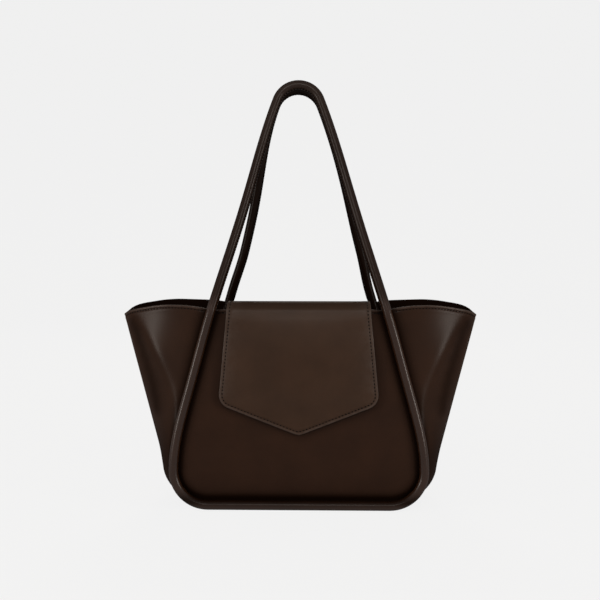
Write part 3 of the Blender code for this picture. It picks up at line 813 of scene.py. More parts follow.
def on_face(face, x, z, shift=0.0):
    depth = rim_depth + (rim_height - z) * panel_lean
    return Vector((x, face * (depth + shift), z))


def side_half_width(face, z):
    t = (rim_height - z) / side_drop
    curve = hermite(rim_half_width(face), base_half_width, side_flare * side_drop, 0.0, t)
    return curve - side_waist * math.sin(math.pi * t) ** 2


def inset_from_tube(face, x, z):
    """Distance on a panel from the tube's centre line."""
    drop = corner_top - z
    if drop <= 0:
        return (side_half_width(face, z) - abs(x)) * math.cos(math.atan(side_flare))
    if abs(x) > corner_half_width:
        return corner_radius - math.hypot(abs(x) - corner_half_width, drop)
    return min(z - tube_radius, corner_half_width + corner_radius - abs(x))


def outline_point(face, part, t):
    """Point and outward direction on the right half, from the rim to the middle."""
    if part == "side":
        z = mix(rim_height, corner_top, t)
        x = side_half_width(face, z)
        step = 1 * MM
        slope = (side_half_width(face, z - step) - x) / step
        return x, z, Vector((1, 0, slope)).normalized()
    if part == "corner":
        turn = t * math.pi / 2
        out = Vector((math.cos(turn), 0, -math.sin(turn)))
        return corner_half_width + corner_radius * out.x, corner_top + corner_radius * out.z, out
    return corner_half_width * (1 - t), tube_radius, Vector((0, 0, -1))


def stations(side_steps, corner_steps, start=0.0):
    """(part, t) from the rim down the side and round the corner."""
    found = [("side", mix(start, 1.0, k / side_steps)) for k in range(side_steps)]
    return found + [("corner", k / corner_steps) for k in range(corner_steps + 1)]


def hem_stations(side_steps, corner_steps):
    """Stations with close rows beside the stitches under the rim."""
    near = [("side", d / side_drop) for d in hem_rows]
    return near + stations(side_steps, corner_steps, (hem_rows[-1] + 5 * MM) / side_drop)


# Rolled tubes: one loop each, down round the panel and over as the handle


def handle_half(face):
    """Right half of a handle's centre line, from the top to the rim, as (x, z)."""
    height = front_handle_height if face == FRONT else rear_handle_height
    radius = front_handle_top_radius if face == FRONT else rear_handle_top_radius
    top = height - tube_radius
    arc_end_x = radius * math.sin(handle_top_turn)
    arc_end_z = top - radius * (1 - math.cos(handle_top_turn))
    drop = arc_end_z - rim_height
    half = []
    for t in shares(16):
        turn = handle_top_turn * t
        half.append((radius * math.sin(turn), top - radius * (1 - math.cos(turn))))
    for t in shares(60)[1:]:
        x = hermite(arc_end_x, rim_half_width(face), drop / math.tan(handle_top_turn), side_flare * drop, t)
        x -= handle_waist * math.sin(math.pi * t) ** 2
        half.append((x, mix(arc_end_z, rim_height, t)))
    return half, top


def evened(path, k):
    """A point of a closed line, drawn halfway towards its two neighbours."""
    return path[k] * 0.5 + (path[k - 1] + path[(k + 1) % len(path)]) * 0.25


def denser_where_it_bends(path):
    """More rings where the handle's foot bends, on the same line."""
    dense = []
    for k, p in enumerate(path):
        after = path[(k + 1) % len(path)]
        count = bend_rings if foot_bend_start - 8 * MM < p.z < foot_bend_end + 4 * MM else 1
        dense += [mix(p, after, step / count) for step in range(count)]
    return dense


def handle_sway(face, z, top):
    """How far a limp handle hangs to the right of its middle line."""
    share = (z - rim_height) / (top - rim_height)
    if face == FRONT:
        return -front_sway * smooth((share - 0.4) / 0.6)
    right = rear_sway_low * smooth((share - 0.05) / 0.2) * (1 - smooth((share - 0.4) / 0.5))
    return right - rear_sway_high * smooth((share - 0.5) / 0.5)


def loop_path(face):
    """Centre line of a whole tube loop, closed, starting at the top of the handle."""
    half, top = handle_half(face)
    top_depth = tube_radius + handle_lean_gap / 2
    right = []
    for x, z in half:
        share = (z - rim_height) / (top - rim_height)
        right.append(Vector((x, face * mix(rim_depth, top_depth, share), z)))
    for part, t in stations(50, 16)[1:]:
        x, z, _ = outline_point(face, part, t)
        right.append(on_face(face, x, z))
    for t in shares(24)[1:]:
        right.append(on_face(face, corner_half_width * (1 - t), tube_radius))
    left = [Vector((-p.x, p.y, p.z)) for p in right[-2:0:-1]]
    path = right + left
    for p in path:
        if p.z > rim_height:
            p.x += handle_sway(face, p.z, top)
    for _ in range(3):
        path = [evened(path, k) if abs(p.z - rim_height) < foot_evening else p for k, p in enumerate(path)]
    return denser_where_it_bends(path)


def loop_frames(face):
    """(centre, tangent, outward in the loop's plane, out of the face) along a loop."""
    path = loop_path(face)
    frames = []
    for k, centre in enumerate(path):
        tangent = (path[(k + 1) % len(path)] - path[k - 1]).normalized()
        out = Vector((0, face, 0)).cross(tangent)
        normal = tangent.cross(out).normalized()
        out = normal.cross(tangent).normalized()
        if normal.y * face < 0:
            normal = -normal
        if out.dot(centre - Vector((0, centre.y, rim_height))) < 0:
            out = -out
        frames.append((centre, tangent, out, normal))
    return frames


def lip_share(z):
    """1 along the handle, where the sewn lip shows, and 0 where the tube borders the panel."""
    return smooth((z - lip_start) / lip_growth)


def tube_section(share):
    """Cross-section as (outward, normal) points: a roll with a sewn lip on its inner side."""
    section = []
    closing = math.radians(mix(180, 158, share))
    radius = mix(tube_radius, roll_radius, share)
    shift = roll_shift * share
    for t in shares(tube_points):
        angle = mix(-closing, closing, t)
        section.append((shift + radius * math.cos(angle), radius * math.sin(angle)))
    if share < 0:
        return section
    last = section[-1]
    lip = [
        (-4.55 * MM, 1.05 * MM),
        (-4.75 * MM, lip_half_thickness),
        (-lip_edge + 0.35 * MM, lip_half_thickness),
        (-lip_edge, lip_half_thickness - 0.4 * MM),
    ]
    lip += [(s, -n) for s, n in lip[::-1]]
    return section + [(mix(last[0], s, share), mix(last[1] * 0.2, n, share)) for s, n in lip]


def add_loop(face, name):
    shape = bmesh.new()
    rings = []
    for centre, _, out, normal in loop_frames(face):
        section = tube_section(lip_share(centre.z))
        rings.append([shape.verts.new(centre + out * s + normal * n) for s, n in section])
    count = len(rings[0])
    for i, ring in enumerate(rings):
        after = rings[(i + 1) % len(rings)]
        for j in range(count):
            k = (j + 1) % count
            shape.faces.new((ring[j], ring[k], after[k], after[j]))
    bmesh.ops.recalc_face_normals(shape, faces=shape.faces)

    top = max(centre.z for centre, _, _, _ in loop_frames(face))

    def wear_and_highlight(p):
        foot = foot_rub * (1 - smooth((p.z - 0.2 * MM) / (2.5 * MM)))
        grip = grip_rub * smooth((p.z - 0.40) / 0.07)
        return foot + grip

    def crease(p):
        """Painted shade beside the panel, above the rim, and where the rear handle faces the front one."""
        foot = beside_panel_shade * smooth((p.z - 3.0 * MM) / (7 * MM))
        foot *= 1 - smooth((p.z - 11 * MM) / (14 * MM))
        foot = max(foot, above_rim_shade * smooth((p.z - 0.235) / 0.02))
        if face == FRONT:
            return foot
        depth = mix(rim_depth, tube_radius, smooth((p.z - rim_height) / (top - rim_height)))
        if p.z < rim_height:
            depth = rim_depth + (rim_height - p.z) * panel_lean
        return max(foot, between_handles_shade * smooth(0.75 - 0.5 * (p.y - depth) / tube_radius))

    return finish_mesh(name, shape, [tube_leather], wear_and_highlight, crease, sharp=60)


# Stitches


def running_lengths(path):
    """Length along a path of (point, direction) pairs up to each of its points."""
    lengths = [0.0]
    for (a, _), (b, _) in zip(path, path[1:]):
        lengths.append(lengths[-1] + (b - a).length)
    return lengths


def resample(path, pitch):
    """Evenly spaced (point, normal, tangent) along a path of (point, normal) pairs."""
    lengths = running_lengths(path)
    count = int(lengths[-1] / pitch)
    found = []
    k = 0
    for step in range(count):
        at = (step + 0.5) * lengths[-1] / count
        while lengths[k + 1] < at:
            k += 1
        t = (at - lengths[k]) / (lengths[k + 1] - lengths[k])
        (a, na), (b, nb) = path[k], path[k + 1]
        found.append((mix(a, b, t), mix(na, nb, t).normalized(), (b - a).normalized()))
    return found


def add_stitch(shape, centre, normal, tangent, length):
    """One stitch: a short round thread that dips into the leather at both ends."""
    across = normal.cross(tangent).normalized()
    rings = []
    for share, width, lift in stitch_profile:
        base = centre + tangent * (share * length / 2) + normal * (lift * thread_radius)
        ring = []
        for k in range(6):
            angle = math.pi * k / 3
            spoke = across * math.cos(angle) + normal * (math.sin(angle) * 0.85)
            ring.append(shape.verts.new(base + spoke * (thread_radius * width)))
        rings.append(ring)
    for ring, after in zip(rings, rings[1:]):
        for k in range(6):
            m = (k + 1) % 6
            shape.faces.new((ring[k], ring[m], after[m], after[k]))
    shape.faces.new(rings[0][::-1])
    shape.faces.new(rings[-1])


def add_stitches(name, paths, pitch=stitch_pitch, length=stitch_length):
    shape = bmesh.new()
    for path in paths:
        for centre, normal, tangent in resample(path, pitch):
            add_stitch(shape, centre, normal, tangent, length)
    bmesh.ops.recalc_face_normals(shape, faces=shape.faces)
    return finish_mesh(name, shape, [thread], sharp=80)


def lip_paths(face):
    """Stitch lines along both faces of a handle's sewn lip."""
    frames = [f for f in loop_frames(face) if f[0].z > rim_height + 5 * MM]
    start = max(range(len(frames)), key=lambda k: (frames[k][0] - frames[k - 1][0]).length)
    frames = frames[start:] + frames[:start]
    inward = mix(4.75 * MM, lip_edge, 0.45)
    paths = []
    for side in (-1, 1):
        lift = side * lip_half_thickness
        paths.append([(c - out * inward + n * lift, n * side) for c, _, out, n in frames])
    return paths


# Panels


def panel_edge(face, inset, top, where):
    """Right edge of a flat panel from its top down to its bottom corner."""
    slope_cos = math.cos(math.atan(side_flare))
    edge = [(side_half_width(face, top) - inset / slope_cos, top)]
    for part, t in where:
        x, z, out = outline_point(face, part, t)
        x -= out.x * inset
        z -= out.z * inset
        if z < top - 0.3 * MM:
            edge.append((x, z))
    return edge


def front_rim_rise():
    """How far the middle of the front rim rises to carry the flap's shoulder."""
    inner_radius = flap_shoulder_radius - flap_thickness
    centre_y, centre_z = shoulder_centre()
    reach = abs(centre_y - -(rim_depth + leather / 2))
    return centre_z + math.sqrt(inner_radius**2 - reach**2) - flap_seat - rim_height


def panel_columns(count):
    """Shares across a panel, closer together near its ends."""
    widest = math.sin(math.pi / 2 * panel_spread)
    return [math.sin(mix(-1, 1, t) * math.pi / 2 * panel_spread) / widest for t in shares(count)]


def panel_relief(face, x, z, top):
    """How far a panel's leather stands out from its flat solid."""
    below = top - z
    side = max(inset_from_tube(face, x, z) - sheet_start, 0.0)
    seam = -seam_pull * math.exp(-side / seam_pull_reach) * smooth(below / seam_pull_top)
    foot = -foot_pull * math.exp(-max(z - sheet_start - tube_radius, 0) / foot_pull_reach)
    soft = smooth(side / 0.03) * smooth(below / 0.05) * smooth((z - 0.012) / 0.03)
    at_snap = 1 - bump(math.hypot(x, z - snap_height), 0, snap_flat_radius)
    belly = belly_height * bump(z, belly_middle, belly_reach)
    waves = panel_wave * undulation((x, face * 0.3, z), panel_wave_size, 3.1)
    slack = soft * (belly + waves) * (at_snap if face == FRONT else 1)
    return seam + foot + slack + hem_relief(below, rim_inset)


def panel_painted_shade(face):
    """Painted shade in the seam beside the tube, at the foot and in the stitch groove, and a faint painted
    shadow along the flap's edge.
    """
    flap_edge = distance_to([Vector((p.x, 0, p.z)) for p, _ in outline_half()])

    def share(p):
        side = max(inset_from_tube(face, p.x, p.z) - sheet_start, 0.0)
        foot = max(p.z - tube_radius - sheet_start, 0.0)
        dark = panel_seam_shade * math.exp(-((side / panel_seam_shade_width) ** 2))
        dark += panel_foot_shade * math.exp(-foot / panel_foot_shade_reach)
        dark += stitch_groove_shade(rim_top(face) - p.z, rim_inset)
        # Painted shadow that the flap's edge casts on the front panel
        if face == FRONT:
            dark += flap_edge_shadow * bump(flap_edge(Vector((-abs(p.x), 0, p.z))), 0, flap_edge_shadow_width)
        return min(dark, 0.95)

    return share


def panel_grid(face, inset, top, shift, rise=0.0, relief=True, where=None, columns=44):
    rows = []
    for x_end, z in panel_edge(face, inset, top, where or hem_stations(40, 14)):
        line = []
        lift = rise * smooth(1 - (top - z) / (25 * MM))
        for u in panel_columns(columns):
            push = panel_relief(face, x_end * u, z, top) if relief else 0.0
            line.append(on_face(face, x_end * u, z + lift * (1 - u * u), shift + push))
        rows.append(line)
    return rows


def rim_line(face, rise, distance, shift):
    """Line across a panel at a distance below its rim, with its outward normal."""
    top = rim_top(face)
    reach = side_half_width(face, top) - sheet_start - 1.5 * MM
    push = hem_relief(rim_inset, rim_inset)
    normal = Vector((0, face * math.copysign(1, shift), 0))
    path = []
    for t in shares(60):
        u = mix(-1, 1, t)
        z = top - distance + rise * (1 - u * u)
        path.append((on_face(face, reach * u, z, shift + math.copysign(push, shift) * 0.6), normal))
    return path


def facing_grid(face):
    """Strip inside the rim that leads from the leather's edge in to the lining."""
    rise = front_rim_rise() if face == FRONT else 0.0
    top = rim_top(face)
    where = stations(10, 4)
    x_top, z_top = panel_edge(face, sheet_start + seam_gap, top, where)[0]
    x_low, z_low = panel_edge(face, lining_edge_inset + 2 * MM, top - facing_height, where)[0]
    rows = []
    for t in (0.0, 0.03, 0.07, 0.12, 0.2, 0.35, 0.5, 0.65, 0.8, 0.93, 1.0):
        depth = mix(facing_shift, -lining_depth_inset, smooth(t) * 0.5 + t * 0.5)
        half = mix(x_top, x_low, t)
        z = mix(z_top, z_low, t)
        line = []
        for u in panel_columns(32):
            lift = rise * (1 - smooth(t)) * (1 - u * u)
            line.append(on_face(face, half * u, z + lift, depth))
        rows.append(line)
    return rows


def follow_outer(face, flat, outer):
    """Inner side of a panel: flat, but following most of its outer side's relief."""
    rows = []
    for flat_line, outer_line in zip(flat, outer):
        behind = [Vector((p.x, q.y - face * leather, p.z)) for p, q in zip(flat_line, outer_line)]
        rows.append([mix(p, q, inner_follows) for p, q in zip(flat_line, behind)])
    return rows


def add_panels():
    stitch_paths = []
    for face, name in FACES:
        rise = front_rim_rise() if face == FRONT else 0.0
        top = rim_top(face)
        outer = panel_grid(face, sheet_start - seam_tuck, top, leather / 2, rise)
        flat = panel_grid(face, sheet_start - seam_tuck, top, -leather / 2, rise, relief=False)
        inner = follow_outer(face, flat, outer)
        rim = distance_to(outer[0])
        panel = soft_sheet(f"{name}_panel_leather", outer, inner, bag_leather,
                           wear_and_highlight=lambda p: hem_highlight(rim(p), rim_inset), crease=panel_painted_shade(face))
        carry(panel, "bag_body", "leather", f"{name}_panel")
        grid = facing_grid(face)
        facing = thin_sheet(f"{name}_rim_facing", grid, shaded_facing_leather, edge_paint_and_highlight)
        carry(facing, "bag_body", "leather", f"{name}_facing")
        near = -lining_depth_inset + lining / 2
        low_top = top - facing_height - seam_gap - lining
        where = stations(20, 10)
        skin, back = [
            panel_grid(face, lining_edge_inset, low_top, shift, relief=False, where=where, columns=28)
            for shift in (near, near - lining)
        ]
        for p in (p for line in skin + back for p in line):
            p.y -= face * 0.5 * MM * (1 + undulation(p, 0.045, 7.7)) * smooth((p.z - 0.02) / 0.03)
        cloth = soft_sheet(f"{name}_lining_cloth", skin, back, lining_cloth, lining_cloth, lining_rounding)
        carry(cloth, "bag_body", "lining", f"{name}_lining")
        stitch_paths.append(rim_line(face, rise, rim_inset, leather / 2))
        stitch_paths.append(rim_line(face, rise, rim_inset, facing_shift - lining / 2))
    return stitch_paths


def carry(piece, body, slot, *nodes):
    """Ride on a body and stand for the solids it dresses, which are hidden. The slot is not used."""
    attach(piece, body)
    if nodes:
        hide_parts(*nodes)
    return piece


# Wings and base: strips between the two tubes


def crease_point(part, t):
    """Middle line of the strip at y = 0, with its outward direction."""
    lean = math.atan2(wing_tip_half_width - wing_base_half_width, wing_tip_height - tube_radius)
    turn = math.pi / 2 - lean
    reach = wing_corner_radius * math.tan(turn / 2)
    start_x = wing_base_half_width + reach * math.sin(lean)
    start_z = tube_radius + reach * math.cos(lean)
    end_x = wing_base_half_width - reach
    if part == "side":
        x = mix(wing_tip_half_width, start_x, t)
        z = mix(wing_tip_height, start_z, t)
        return Vector((x, 0, z)), Vector((math.cos(lean), 0, -math.sin(lean)))
    if part == "corner":
        angle = lean + turn * t
        out = Vector((math.cos(angle), 0, -math.sin(angle)))
        centre = Vector((end_x, 0, tube_radius + wing_corner_radius))
        return centre + out * wing_corner_radius, out
    return Vector((mix(end_x, 0, t), 0, tube_radius)), Vector((0, 0, -1))


def rim_lift(face, u):
    """How the wing's rim rises and dips between the tube, u = 0, and the crease, u = 1."""
    spread = rim_blur * min(u, 1 - u)
    return sum(rim_curve(face, u + spread * k) for k in (-1, -0.5, 0, 0.5, 1)) / 5


def rim_curve(face, u):
    wave = front_rim_wave if face == FRONT else rear_rim_wave
    if u < wave_turn:
        turn = u / wave_turn
    else:
        turn = 1 + ((u - wave_turn) / (1 - wave_turn)) ** wave_bias
    droop = front_rim_droop if face == FRONT else rear_rim_droop
    return (wing_rim_rise - droop) * math.sin(math.pi * u) - wave * math.sin(math.pi * turn)


def half_section(face, part, t, is_lining, steps):
    """One half of the strip's cross-section, from the tube to the crease."""
    x, z, out = outline_point(face, part, t)
    fall = t if part == "side" else 1.0
    if part == "corner":
        start_turn = mix(start_turn_bottom, math.pi / 2, t)
    elif part == "side":
        start_turn = mix(start_turn_top, start_turn_bottom, fall)
    else:
        start_turn = math.pi / 2
    crease_turn = mix(crease_turn_top, math.pi / 2, fall)
    inward = Vector((0, -face, 0))
    start = on_face(face, x, z)
    leave = out * math.cos(start_turn) + inward * math.sin(start_turn)
    crease, crease_out = crease_point(part, t)
    if is_lining:
        start = start + inward * lining_depth_inset - out * lining_edge_inset
        start = start + leave * (lining / 2 + seam_gap)
        crease = crease - crease_out * mix(crease_inset_top, lining_edge_inset, fall)
    else:
        start = start + leave * (sheet_start - seam_tuck)
    reach = (crease - start).length * wing_fullness
    arrive = crease_out * math.cos(crease_turn) + inward * math.sin(crease_turn)
    line = []
    for u in shares(steps):
        point = bezier(start, start + leave * reach, crease - arrive * reach, crease, u)
        point.z += rim_lift(face, u) * (1 - fall)
        line.append(point)
    return line


def strip_rows(side, where, is_lining=False, steps=26):
    """Rows of a strip from the front tube to the rear one, side is 1 or -1."""
    rows = []
    for part, t in where:
        front = half_section(FRONT, part, t, is_lining, steps)
        rear = half_section(REAR, part, t, is_lining, steps)
        rows.append([Vector((side * p.x, p.y, p.z)) for p in front + rear[-2::-1]])
    return rows


def fold_bottom(t):
    """Where the hollow beside the fold lies, as a share from the tube to the crease."""
    return 0.92 - 0.45 * t


def wing_fold(face, t, u):
    """Soft fold that runs from the rim down towards the tube, as a distance outwards."""
    fade = 1 - smooth((t - 0.25) / 0.45)
    crest = 0.90 - 1.4 * t

    def flank(v):
        if v < crest:
            return (max(v, 0.0) / crest) ** 1.6
        return bump(v, crest, 0.12 + 0.35 * t)

    ridge = fold_height * sum(flank(u + step) for step in fold_blur) / len(fold_blur)
    edge = smooth(u / fold_edge) * smooth((1 - u) / fold_edge)
    lean = 1.0 if face == FRONT else rear_fold_share
    return ridge * fade * edge * lean


def wing_grid(side, where, steps=26):
    rows = strip_rows(side, where, steps=steps)

    def push(i, j):
        part, t = where[i]
        face = FRONT if j <= steps else REAR
        u = j / steps if j <= steps else (2 * steps - j) / steps
        slow = wing_wave * undulation(rows[i][j], wing_wave_size, 5.3 * side)
        slow = slow * smooth(u / 0.15) * smooth((1 - u) / 0.2)
        if part != "side":
            return slow * (1 - smooth(t))
        tuck = -wing_tuck * math.exp(-u / 0.06) * (1 - smooth((t - 0.6) / 0.4))
        return wing_fold(face, t, u) + hem_relief(t * side_drop, rim_inset) + slow + tuck

    return offset_rows(rows, push)


def wing_facing_grid(side, steps=26):
    """Strip inside the wing's rim, from the leather's edge in to the lining."""
    share = (facing_height + 2 * seam_gap) / side_drop
    near = [("side", 0.0), ("side", share)]
    skin = wing_grid(side, near, steps)
    top = offset_rows(skin, facing_shift)[0]
    low = strip_rows(side, [("side", share - seam_gap / rim_height)], True, steps)[0]
    last = len(top) - 1
    for k, face in ((0, FRONT), (last, REAR)):
        top[k] = top[k] + Vector((side, 0, 0)) * seam_gap * 2
        x, z, out = outline_point(face, "side", share)
        out = Vector((side * out.x, 0, out.z))
        clear = (polygon_radius + lining) * 0.85
        low[k] = on_face(face, side * x, z) + out * clear + Vector((0, -face, 0)) * lining_depth_inset
    steps_down = (0, 0.04, 0.1, 0.2, 0.35, 0.5, 0.65, 0.8, 0.93, 1)
    return [[mix(a, b, t) for a, b in zip(top, low)] for t in steps_down]


def worn_wing(p):
    """Rubbed along the fold and at the lower corners."""
    fold = bump(p.y, 0, fold_rub_width) * fold_rub
    corner = corner_rub * (1 - smooth((p.z - 0.006) / 0.02)) * smooth((abs(p.x) - 0.1) / 0.03)
    return fold + corner


def wing_painted_shade(outer, where, steps=26):
    """Painted shade: the leather is darker beside the tubes, along the hollow of each fold, low on the wing
    and in the stitch groove.
    """
    seams = [distance_to([line[k] for line in outer]) for k in (0, -1)]
    rim = distance_to(outer[0])
    hollows = []
    for face in (FRONT, REAR):
        line = []
        for i, (part, t) in enumerate(where):
            if part == "side" and t < 0.62:
                j = round(fold_bottom(t) * steps)
                line.append(outer[i][j if face == FRONT else 2 * steps - j])
        hollows.append(distance_to(line))

    def share(p):
        seam = wing_seam_shade * math.exp(-((min(near(p) for near in seams) / wing_seam_shade_width) ** 2))
        hollow = hollow_shade * bump(min(near(p) for near in hollows), 0, hollow_shade_width)
        hollow *= smooth((rim(p) - 4 * MM) / 0.01)
        low = low_wing_shade * smooth((0.12 - p.z) / 0.07)
        return max(seam, hollow, low, stitch_groove_shade(rim(p), rim_inset))

    return share


def add_wings():
    stitch_paths = []
    where = hem_stations(44, 14)
    share = (facing_height + 2 * seam_gap) / side_drop
    inner_stations = [s for s in stations(26, 10) if s[0] != "side" or s[1] > share + 0.01]
    inner_stations = [("side", share)] + inner_stations
    for side, name in ((-1, "left"), (1, "right")):
        rows = wing_grid(side, where)
        outer = offset_rows(rows, leather / 2)
        inner = offset_rows(rows, -leather / 2)
        rim = distance_to(outer[0])
        dark = wing_painted_shade(outer, where)
        wing = soft_sheet(f"{name}_wing_leather", outer, inner, wing_leather,
                          wear_and_highlight=lambda p: worn_wing(p) + hem_highlight(rim(p), rim_inset), crease=dark)
        carry(wing, "bag_body", "leather", f"{name}_wing")
        grid = wing_facing_grid(side)
        facing = thin_sheet(f"{name}_wing_rim_facing", grid, shaded_facing_leather, edge_paint_and_highlight)
        carry(facing, "bag_body", "leather", f"{name}_wing_facing")
        rows = strip_rows(side, inner_stations, True, 18)
        cloth = thin_sheet(f"{name}_wing_lining_cloth", rows, lining_cloth, lining_cloth)
        carry(cloth, "bag_body", "lining", f"{name}_wing_lining")
        stitch_row = hem_rows.index(3.3 * MM)
        normals = grid_normals(outer)
        sign = outward_sign(outer, normals)
        line = [(p, n * sign) for p, (n, _) in zip(outer[stitch_row], normals[stitch_row])]
        stitch_paths.append(line[1:27])
        stitch_paths.append(line[26:-1])
    return stitch_paths


def base_grid(is_lining, steps=14):
    """Rows across the base from its right end to its left one."""
    where = [("bottom", t) for t in shares(14)]
    rows = strip_rows(1, where, is_lining, steps) + strip_rows(-1, where[-2::-1], is_lining, steps)
    for line in (rows[0], rows[-1]):
        for p in line:
            if is_lining:
                p.x += math.copysign(lining_lap, p.x)
                p.z += lap_lift
            else:
                p.x -= math.copysign(seam_gap, p.x)
    return rows


def add_base():
    rows = base_grid(False)
    for p in (p for line in rows for p in line):
        inside = smooth((0.045 - abs(p.y)) / 0.03), smooth((0.1 - abs(p.x)) / 0.02)
        p.z -= 0.5 * MM * inside[0] * (1 + undulation(p, 0.05, 2.2)) * inside[1]
    base = soft_sheet("base_leather", offset_rows(rows, leather / 2), offset_rows(rows, -leather / 2),
                      bag_leather,
                      wear_and_highlight=lambda p: 0.25 * (1 + undulation(p, 0.02, 9.1)) * bump(abs(p.x), 0.1, 0.02))
    carry(base, "bag_body", "leather", "base_panel")
    rows = base_grid(True, 12)
    cloth = thin_sheet("base_lining_cloth", rows, lining_cloth, lining_cloth)
    carry(cloth, "bag_body", "lining", "base_lining")


def add_pocket():
    near = -(lining_depth_inset + lining / 2 + seam_gap) - 0.5 * MM
    grids = []
    for shift in (near, near - lining):
        rows = []
        for t in shares(24):
            z = mix(pocket_top, pocket_bottom, t)
            line = []
            for across in shares(32):
                u = mix(-1, 1, across)
                slack = 1.6 * MM * (1 - u * u) * (1 - smooth(t * 1.6))
                slack += 0.4 * MM * undulation((u, t, 1), 0.4, 4.4)
                line.append(on_face(REAR, pocket_half_width * u, z, shift - max(slack, 0.0)))
            rows.append(line)
        grids.append(rows)
    pocket = soft_sheet("slip_pocket_cloth", *grids, lining_cloth, lining_cloth, lining_rounding)
    carry(pocket, "bag_body", "lining", "slip_pocket")


# Flap: root and bridge over the mouth, then the front drop


def shoulder_centre():
    """Centre (y, z) of the bend where the flap turns down over the front rim."""
    z = flap_shoulder_height
    depth = rim_depth + (rim_height - z) * panel_lean
    outer = depth + leather / 2 + snap_stack + flap_thickness
    return -(outer - flap_shoulder_radius), z


def rear_bend():
    """Centre (y, z) and outer radius of the bend over the rear rim."""
    outer = rim_depth + leather / 2 + seam_gap + flap_leather
    radius = flap_leather + leather / 2 + seam_gap
    return outer - radius, rim_top(REAR), radius


def tangent_turn():
    front_y, front_z = shoulder_centre()
    rear_y, rear_z, rear_radius = rear_bend()
    span = math.hypot(rear_y - front_y, front_z - rear_z)
    slope = math.atan2(front_z - rear_z, rear_y - front_y)
    return slope + math.asin((flap_shoulder_radius - rear_radius) / span)


def root_profile():
    """Outer line of the flap's root on the rear panel, bottom to top: (point, normal)."""
    bottom = rim_top(REAR) - flap_root_height
    shift = leather / 2 + seam_gap + flap_leather
    found = []
    for d in [0, 0.7, 1.5, 2.4, 3.7, 4.4, 5.6, 7.5, 10, 14, 19, 24, 28]:
        point = on_face(REAR, 0, bottom + d * MM, shift)
        found.append((point, Vector((0, 1, 0))))
    return found


def bridge_profile():
    """Outer line of the bridge from the rear bend to the shoulder: (point, normal)."""
    front_y, front_z = shoulder_centre()
    rear_y, rear_z, rear_radius = rear_bend()
    climb = tangent_turn()
    rear = []
    for t in shares(8):
        angle = mix(0, math.pi / 2 - climb, t)
        n = Vector((0, math.cos(angle), math.sin(angle)))
        rear.append((Vector((0, rear_y, rear_z)) + n * rear_radius, n))
    front = []
    for t in shares(16):
        angle = mix(math.pi / 2 - climb, math.pi - shoulder_ease, t)
        n = Vector((0, math.cos(angle), math.sin(angle)))
        front.append((Vector((0, front_y, front_z)) + n * flap_shoulder_radius, n))
    return rear, front


def sag(share):
    """The bridge sinks a little between the two rims."""
    return bridge_sag * math.sin(math.pi * share) ** 2


flap_columns = hem_rows[:9]


def flap_line(edge, inward, spine, normal, depth, spine_steps=9):
    """Points from the left edge to the right one, under the outer face by a depth."""
    half = []
    for d in flap_columns:
        lift = hem_relief(d, flap_inset) if depth == 0 else 0.0
        half.append(edge + inward * d + normal * (lift - depth))
    last = edge + inward * flap_columns[-1] - normal * depth
    centre = spine - normal * depth
    for t in shares(spine_steps)[1:]:
        half.append(mix(last, centre, t))
    mirrored = [Vector((-p.x, p.y, p.z)) for p in half[-2::-1]]
    return half + mirrored


def outline_half():
    """Left edge of the front drop from the shoulder to the tip: (point, inward direction)."""
    top = Vector((-flap_shoulder_half_width, 0, flap_shoulder_height))
    corner = Vector((-flap_low_half_width, 0, flap_corner_height))
    tip = Vector((0, 0, flap_tip_height))
    side = (corner - top).normalized()
    low = (tip - corner).normalized()
    turn = side.angle(low)
    reach = flap_corner_radius * math.tan(turn / 2)
    start = corner - side * reach
    centre = start + Vector((-side.z, 0, side.x)) * flap_corner_radius
    inward = Vector((-side.z, 0, side.x))
    found = []
    for t in shares(34)[1:-1]:
        found.append((mix(top, start, t), inward))
    first = math.atan2(start.z - centre.z, start.x - centre.x)
    for t in shares(14):
        angle = first + turn * t
        out = Vector((math.cos(angle), 0, math.sin(angle)))
        found.append((centre + out * flap_corner_radius, -out))
    arc_end = found[-1][0]
    inward = Vector((-low.z, 0, low.x))
    for t in shares(26)[1:]:
        found.append((mix(arc_end, tip, t), inward))
    round_tip = Vector((0, 0, 1))
    softened = []
    for point, direction in found:
        share = smooth(1 - abs(point.x) / tip_softening)
        raised = point + Vector((0, 0, tip_rise)) * share * share
        softened.append((raised, mix(direction, round_tip, share).normalized()))
    return softened


def drop_push(x, z):
    """How far the flap's front stands out: a soft dome, pressed in along its lower edge."""
    across = 1 - (x / flap_low_half_width) ** 2
    down = smooth((flap_shoulder_height - z) / 0.05) * smooth((z - flap_tip_height) / 0.06 + 0.15)
    slow = flap_wave * undulation((x, 0.5, z), flap_wave_size, 8.8)
    below = max(flap_shoulder_height - z, 0.0)
    hump = hump_height * (1 - math.exp(-below / hump_reach)) * (1 - smooth((0.2 - z) / 0.07))
    return (dome_height * across + slow) * down + hump


def edge_roll(distance, below):
    """The flap falls away towards its stitched edge."""
    deep = mix(edge_roll_high, edge_roll_low, smooth((below - 0.075) / 0.05)) * MM
    return -deep * math.exp(-distance / edge_roll_reach) * smooth(below / edge_roll_start)


